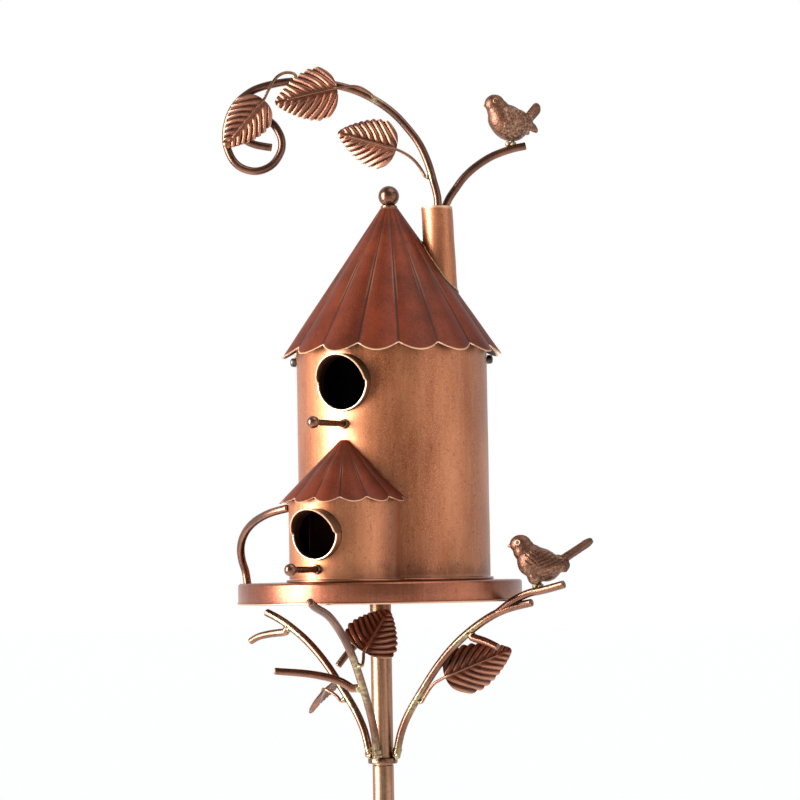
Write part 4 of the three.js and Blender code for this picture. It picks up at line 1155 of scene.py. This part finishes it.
class Leaf:
    """A pressed sheet leaf: base at the origin, tip along X, pleated from its midrib to its margin."""

    def __init__(self, length, width, cup):
        self.length = length
        self.width = width
        self.cup = cup

    def half(self, along):
        """Half the width at a share of the way from the base to the tip."""
        swell = math.sin(math.pi * along**0.66) ** 0.72 if 0 < along < 1 else 0.0
        return self.width / 2 * (0.03 + 0.97 * swell)

    def pleat(self, along, across):
        """1 on a ridge and -1 in a groove; the veins run forward to the margin."""
        aside = abs(across) * self.half(along) / (self.width / 2)
        start = along - (0.3 + 0.26 * along) * aside**1.25
        start += 0.016 * math.sin(9 * along + self.length) + 0.006 * math.copysign(1, across)
        return 2 * abs(math.sin(math.pi * LEAF_PLEATS * (start + 0.03))) ** 0.85 - 1

    def surface(self, along, across):
        fold = self.pleat(along, across)
        reach = abs(across)
        half = self.half(along) * (1 + 0.05 * fold * reach**4)
        belly = math.sin(math.pi * min(1, max(0, along)))
        x = self.length * (along - 0.03 * across**2 * belly)
        depth = 0.85 * min(1, 3 * reach) * belly**0.3 * (1 - 0.5 * reach**4)
        rib = 0.5 * math.exp(-((half * across / 1.0) ** 2))
        z = -self.cup * across**2 * belly - LEAF_CURL * along**2 + depth * fold + rib
        return Vector((x, half * across, z))

    def build(self, bm, place, rows=176, columns=52, thick=0.4):
        """Adds the sheet; on either side its grooves get painted shade and its ridges a painted highlight
        that also stands for wear.
        """
        groove, edge = layer(bm, "groove"), layer(bm, "edge")
        lengthwise = [row / rows for row in range(rows + 1)]
        crosswise = [2 * column / columns - 1 for column in range(columns + 1)]
        grids = []
        for side in (1, -1):
            rings = []
            for along in lengthwise:
                ring = [self.surface(along, across) + up(side * thick) for across in crosswise]
                rings.append([place @ point for point in ring])
            grids.append(skin(bm, rings, around=False))
            for along, row in zip(lengthwise, grids[-1]):
                for across, vert in zip(crosswise, row):
                    fold = side * self.pleat(along, across)
                    reach = abs(across) ** 0.6
                    # Painted shade in the grooves, painted highlight and wear on the ridges
                    vert[groove] = min(0.95, 2.2 * max(0, -fold)) * min(1, 1.6 * reach)
                    vert[edge] = 0.2 * max(0, fold) ** 3 * reach
        upper, lower = grids
        border = [(0, c) for c in range(columns + 1)] + [(r, columns) for r in range(1, rows + 1)]
        border += [(rows, c) for c in range(columns - 1, -1, -1)] + [(r, 0) for r in range(rows - 1, 0, -1)]
        for (r0, c0), (r1, c1) in zip(border, border[1:] + border[:1]):
            bm.faces.new((upper[r0][c0], upper[r1][c1], lower[r1][c1], lower[r0][c0]))


# Which way each leaf faces, and how deep it is cupped
LEAF_LOOKS = {
    "vine_leaf_tip": (TOWARDS_VIEWER, 4),
    "vine_leaf_middle": (TOWARDS_VIEWER, 3),
    "vine_leaf_low": (TOWARDS_VIEWER, 6),
    "leaf_right": (TOWARDS_VIEWER, 7),
    "leaf_front": (TOWARDS_VIEWER, 4),
    "leaf_left": ((-0.61, -0.35, 0.7), 3),
}
LEAF_PLACES = {node: leaf_place(node, facing) for node, (facing, _) in LEAF_LOOKS.items()}
LEAF_FORMS = {node: Leaf(*LEAF_PLACES[node][1:], cup) for node, (_, cup) in LEAF_LOOKS.items()}


def leaves():
    for node, form in LEAF_FORMS.items():
        bm = blank()
        form.build(bm, LEAF_PLACES[node][0])
        show(node, bm, sharp=60)


# --- birds

# Lumps are (centre, radii, pitch), the beak (x, z, droop), the tail (root, tip, width there and there)
UPPER_BIRD = {
    "lumps": [
        ((0.5, 0, 16.5), (16.5, 12.0, 13.3), 30),
        ((6.0, 0, 19.5), (10.8, 11.0, 11.5), 0),
        ((12.0, 0, 30.4), (7.9, 7.3, 7.3), 0),
        ((9.0, 0, 26.0), (8.8, 8.6, 8.4), 0),
        ((-10.5, 0, 13.6), (7.2, 7.2, 6.6), 20),
    ],
    "wing": ((-4.5, 10.0, 17.5), (13.0, 2.8, 7.6), 26),
    "beak": (18.4, 29.6, 112),
    "tail": ((-11, 14), (-26.5, 31), 4.4, 6.2),
    "twist": 62,
    "eye": (14.6, 6.4, 32.0),
    "rough": True,
    "yaw": math.radians(235),
}
LOWER_BIRD = {
    "lumps": [
        ((-3.5, 0, 17.0), (16.5, 10.6, 11.0), 22),
        ((3.5, 0, 19.0), (10.4, 10.0, 12.0), 10),
        ((11.0, 0, 31.0), (8.0, 7.0, 7.0), 0),
        ((8.4, 0, 26.4), (8.2, 7.8, 8.6), 20),
        ((-17, 0, 16.4), (8.5, 6.4, 6.2), 22),
        ((0.5, 0, 8.0), (6.4, 6.4, 7.5), 0),
        ((-9, 0, 9.4), (8.5, 5.6, 6.0), -20),
    ],
    "wing": ((-6.0, 8.8, 18.2), (14, 2.9, 7.4), 22),
    "beak": (17.6, 30.2, 103),
    "tail": ((-17, 17.5), (-42, 33.5), 4.2, 5.8),
    "twist": 38,
    "eye": (13.6, 6.3, 32.2),
    "rough": False,
    "yaw": math.radians(210),
}


def bird_parts(bm, form):
    """The lumps that a bird is blended from: X forwards, Z up, its feet at the origin."""
    for centre, radii, pitch in form["lumps"]:
        ellipsoid(bm, centre, radii, pitch)
    (x, y, z), radii, pitch = form["wing"]
    for side in (-1, 1):
        ellipsoid(bm, (x, side * y, z), radii, pitch, side * 5)
        ellipsoid(bm, (x - 9, side * (y - 2), z - 3), (9.5, 2.1, 3.6), pitch + 8, side * 9)
        ellipsoid(bm, (form["eye"][0] - 0.6, side * (form["eye"][1] - 0.9), form["eye"][2]), (2, 1, 2), 0)
    forward, height, droop = form["beak"]
    beak = Matrix.Translation((forward, 0, height)) @ Matrix.Rotation(math.radians(droop), 4, "Y")
    turned(bm, [(0, -2), (2.4, -1), (2.0, 0), (1.2, 2.0), (0.5, 3.4), (0, 3.7)], beak, 24, closed=False)
    (root_x, root_z), (tip_x, tip_z), narrow, fan = form["tail"]
    root, tip = Vector((root_x, 0, root_z)), Vector((tip_x, 0, tip_z))
    rise = (tip - root).cross(Vector((0, 1, 0))).normalized()
    lean = math.radians(form["twist"])
    side = Vector((0, 1, 0)) * math.cos(lean) - rise * math.sin(lean)
    flat = rise * math.cos(lean) + Vector((0, 1, 0)) * math.sin(lean)
    rows = []
    for step in range(17):
        share = step / 16
        point = root.lerp(tip, share)
        wide = narrow + (fan - narrow) * share
        if share > 0.8:
            wide *= math.sqrt(max(0.04, 1 - ((share - 0.8) / 0.2) ** 2 * 0.85))
        thick = 2.8 - 1.5 * share
        rows.append([point + side * wide * math.cos(t) + flat * thick * math.sin(t) for t in circle(24)])
    skin(bm, rows, caps=True)


def bird_relief(point, rough):
    """How far a bird's surface is cut in or raised at a point, in millimetres."""
    x, y, z = point
    depth = 0.0
    wing = not rough and -24 < x < 5 and 12 < z + 0.35 * (x + 6) < 32 and abs(y) > 5.5
    if wing:
        rows = (z + 0.42 * x) * 1.15
        depth -= 0.32 * (0.5 + 0.5 * math.cos(rows * 1.9)) * min(1, (5 - x) / 8)
    if not rough and 0 < x < 8 and 15 < z < 26 and abs(y) > 4.5:
        depth -= 0.6 * max(0, math.cos((z - 0.8 * x) * 1.5)) ** 4
    if x < -22:
        depth -= 0.22 * (0.5 + 0.5 * math.cos(y * 2.1))
    scale, shown = (0.55, 1.0) if rough else (0.42, 0.55)
    if not wing and -20 < x < 9 and z < 27:
        depth += shown * 0.42 * (noise.voronoi(point * scale)[0][0] - 0.4)
    return depth + 0.12 * noise.noise(point * 0.9)


def bird(node, form):
    """A small cast bird, blended from lumps, with feathers cut into it and ringed eyes."""
    low, _ = box(node)
    points = [v.co / MM for v in frame["nodes"][node].data.vertices if v.co.z / MM < low.z + 0.05]
    foot = sum(points, Vector()) / len(points)
    bm = blank()
    bird_parts(bm, form)
    made = linked("bird_draft", finished_mesh(bm, "bird_draft", 60))
    remesh = made.modifiers.new("blend", "REMESH")
    remesh.mode = "VOXEL"
    remesh.voxel_size = 0.5 * MM
    smooth = made.modifiers.new("smooth", "SMOOTH")
    smooth.factor = 0.5
    smooth.iterations = 10
    mesh = apply_modifiers(made)
    bm = blank()
    bm.from_mesh(mesh)
    bpy.data.objects.remove(made)
    bmesh.ops.scale(bm, vec=(1 / MM,) * 3, verts=bm.verts)
    bm.normal_update()
    groove, edge = layer(bm, "groove"), layer(bm, "edge")
    # Cut-in feathers get painted shade and raised grain a painted highlight
    moves = [(vert, bird_relief(vert.co, form["rough"])) for vert in bm.verts]
    for vert, depth in moves:
        vert.co += vert.normal * depth
        vert[groove] = min(0.6, max(0, -depth * 1.4))
        vert[edge] = min(0.3, max(0, depth * 0.9))
    x, y, z = form["eye"]
    for side in (-1, 1):
        eye = Matrix.Translation((x, side * y, z)) @ Matrix.Rotation(math.radians(-90 * side), 4, "X")
        ring = turned(bm, list(arc((1.6, 0.1), 0.5, 0, 315, 7)), eye, 24)
        turned(bm, list(arc((0, -0.1), 0.95, -90, 90, 8)), eye, 20, closed=False)
        # The eye rings get a painted highlight
        for vert in (vert for row in ring for vert in row):
            vert[edge] = 0.15 if form["rough"] else 0.8
    place = Matrix.Translation(foot) @ Matrix.Rotation(form["yaw"], 4, "Z") @ Matrix.Translation((1, 0, 0))
    bmesh.ops.transform(bm, matrix=place, verts=bm.verts)
    for side, seed in ((1, 3), (-1, 8)):
        lump(bm, foot + Vector((side * 1.7, side, 0.3)), 2.1, seed)
    mark_near(bm, "weld", [foot], 7)
    show(node, bm, sharp=70)


# --- screws


def screws():
    for node, turn in (("roof_screw_right", VINE_AZIMUTH), ("roof_screw_left", VINE_AZIMUTH + math.pi)):
        centre = Vector((*TOWER_AXIS, middle(node).z))
        outwards = Matrix.Rotation(turn, 4, "Z") @ Matrix.Rotation(math.pi / 2, 4, "Y")
        place = Matrix.Translation(centre) @ outwards
        seat = TOWER_RADIUS + GAP
        end = TOWER_RADIUS - 6
        profile = [(0, end), (1.6, end), (1.8, end + 0.4), (1.8, seat)]
        profile += [(3.4, seat), (3.4, seat + 2.4), (3.0, seat + 3.6), (1.9, seat + 4.3), (0, seat + 4.5)]
        bm = blank()
        turned(bm, profile, place, 32, closed=False)
        show(node, bm)


# --- everything

pole()
ground_fork()
tray()
floor_plate()
flange()
tower_wall()
annex_wall()
collar("tower_collar", TOWER_RADIUS, TOWER_AXIS)
collar("annex_collar", ANNEX_RADIUS, ANNEX_AXIS)
perch("tower_perch", TOWER_RADIUS, TOWER_AXIS)
perch("annex_perch", ANNEX_RADIUS, ANNEX_AXIS)
roofs()
skirt()
finial()
chimney()
rods()
leaves()
stems()
bird("upper_bird", UPPER_BIRD)
bird("lower_bird", LOWER_BIRD)
screws()


# --- floor, light and camera

EYE_DISTANCE = 2.612
EYE_LEVEL = TRAY_HIGH.z * MM + 0.015
AIM_LEVEL = TRAY_HIGH.z * MM + 0.1367
AIM_RIGHT = 0.0175
FIELD_OF_VIEW = math.radians(13.2)
CAMERA_ROLL = math.radians(-1.0)
HEAD = up(1.35)


def floor():
    """A wide pale floor just under the prongs' tips."""
    size = 60.0
    level = cad_box[0].z - MM
    bm = bmesh.new()
    corners = [(-size, -size), (size, -size), (size, size), (-size, size)]
    bm.faces.new([bm.verts.new((x, y, level)) for x, y in corners])
    made = linked("floor", bpy.data.meshes.new("floor"))
    bm.to_mesh(made.data)
    bm.free()
    material, _tree, shader = blank_material("floor")
    shader.inputs["Base Color"].default_value = (0.86, 0.86, 0.85, 1)
    shader.inputs["Roughness"].default_value = 0.9
    shader.inputs["Emission Color"].default_value = (1, 1, 0.99, 1)
    shader.inputs["Emission Strength"].default_value = 0.56
    made.data.materials.append(material)


def around(azimuth, distance, rise):
    """A place round the head of the object: the azimuth runs from the camera's side to its right."""
    turn = math.radians(azimuth)
    flat = TO_EYE * math.cos(turn) + RIGHT_HAND * math.sin(turn)
    return HEAD + flat * distance + up(rise)


def softbox(name, place, width, height, power):
    """A soft light that looks at the object's head."""
    light = bpy.data.lights.new(name, "AREA")
    light.shape = "RECTANGLE"
    light.size = width
    light.size_y = height
    light.energy = power
    made = linked(name, light)
    made.location = place
    made.rotation_euler = (HEAD - place).to_track_quat("-Z", "Y").to_euler()
    made.visible_camera = False


def backdrop():
    """White to the eye; in the reflections a white wall behind the object and a dim room before it."""
    world = bpy.data.worlds.new("studio")
    bpy.context.scene.world = world
    world.use_nodes = True
    tree = world.node_tree
    tree.nodes.clear()
    seen = add(tree, "ShaderNodeBackground", {"Color": (1, 1, 1, 1), "Strength": 1.0})
    where = add(tree, "ShaderNodeTexCoord").outputs["Generated"]
    towards = add(tree, "ShaderNodeVectorMath", {0: where, 1: -TO_EYE}, operation="DOT_PRODUCT")
    behind = ramp(tree, towards.outputs["Value"], -0.45, 0.45)
    tone = mix(tree, behind, (0.15, 0.15, 0.16, 1), (0.8, 0.81, 0.84, 1))
    room = add(tree, "ShaderNodeBackground", {"Color": tone, "Strength": 1.0})
    ray = add(tree, "ShaderNodeLightPath").outputs["Is Camera Ray"]
    shown = add(tree, "ShaderNodeMixShader", {0: ray, 1: room.outputs[0], 2: seen.outputs[0]})
    add(tree, "ShaderNodeOutputWorld", {"Surface": shown.outputs[0]})


def camera():
    data = bpy.data.cameras.new("camera")
    data.sensor_width = 36
    data.lens = data.sensor_width / 2 / math.tan(FIELD_OF_VIEW / 2)
    data.clip_end = 100
    made = linked("camera", data)
    eye = TO_EYE * EYE_DISTANCE + up(EYE_LEVEL)
    aim = RIGHT_HAND * AIM_RIGHT + up(AIM_LEVEL)
    made.location = eye
    turn = (aim - eye).to_track_quat("-Z", "Y").to_matrix() @ Matrix.Rotation(CAMERA_ROLL, 3, "Z")
    made.rotation_euler = turn.to_euler()
    bpy.context.scene.camera = made


floor()
camera()
backdrop()
softbox("key", around(-70, 2.0, 0.2), width=0.8, height=2.0, power=185)
softbox("fill", around(60, 2.4, 0.25), width=2.6, height=2.2, power=24)
softbox("top", around(60, 0.9, 1.8), width=1.6, height=1.6, power=24)
bpy.context.scene.view_settings.view_transform = "Standard"
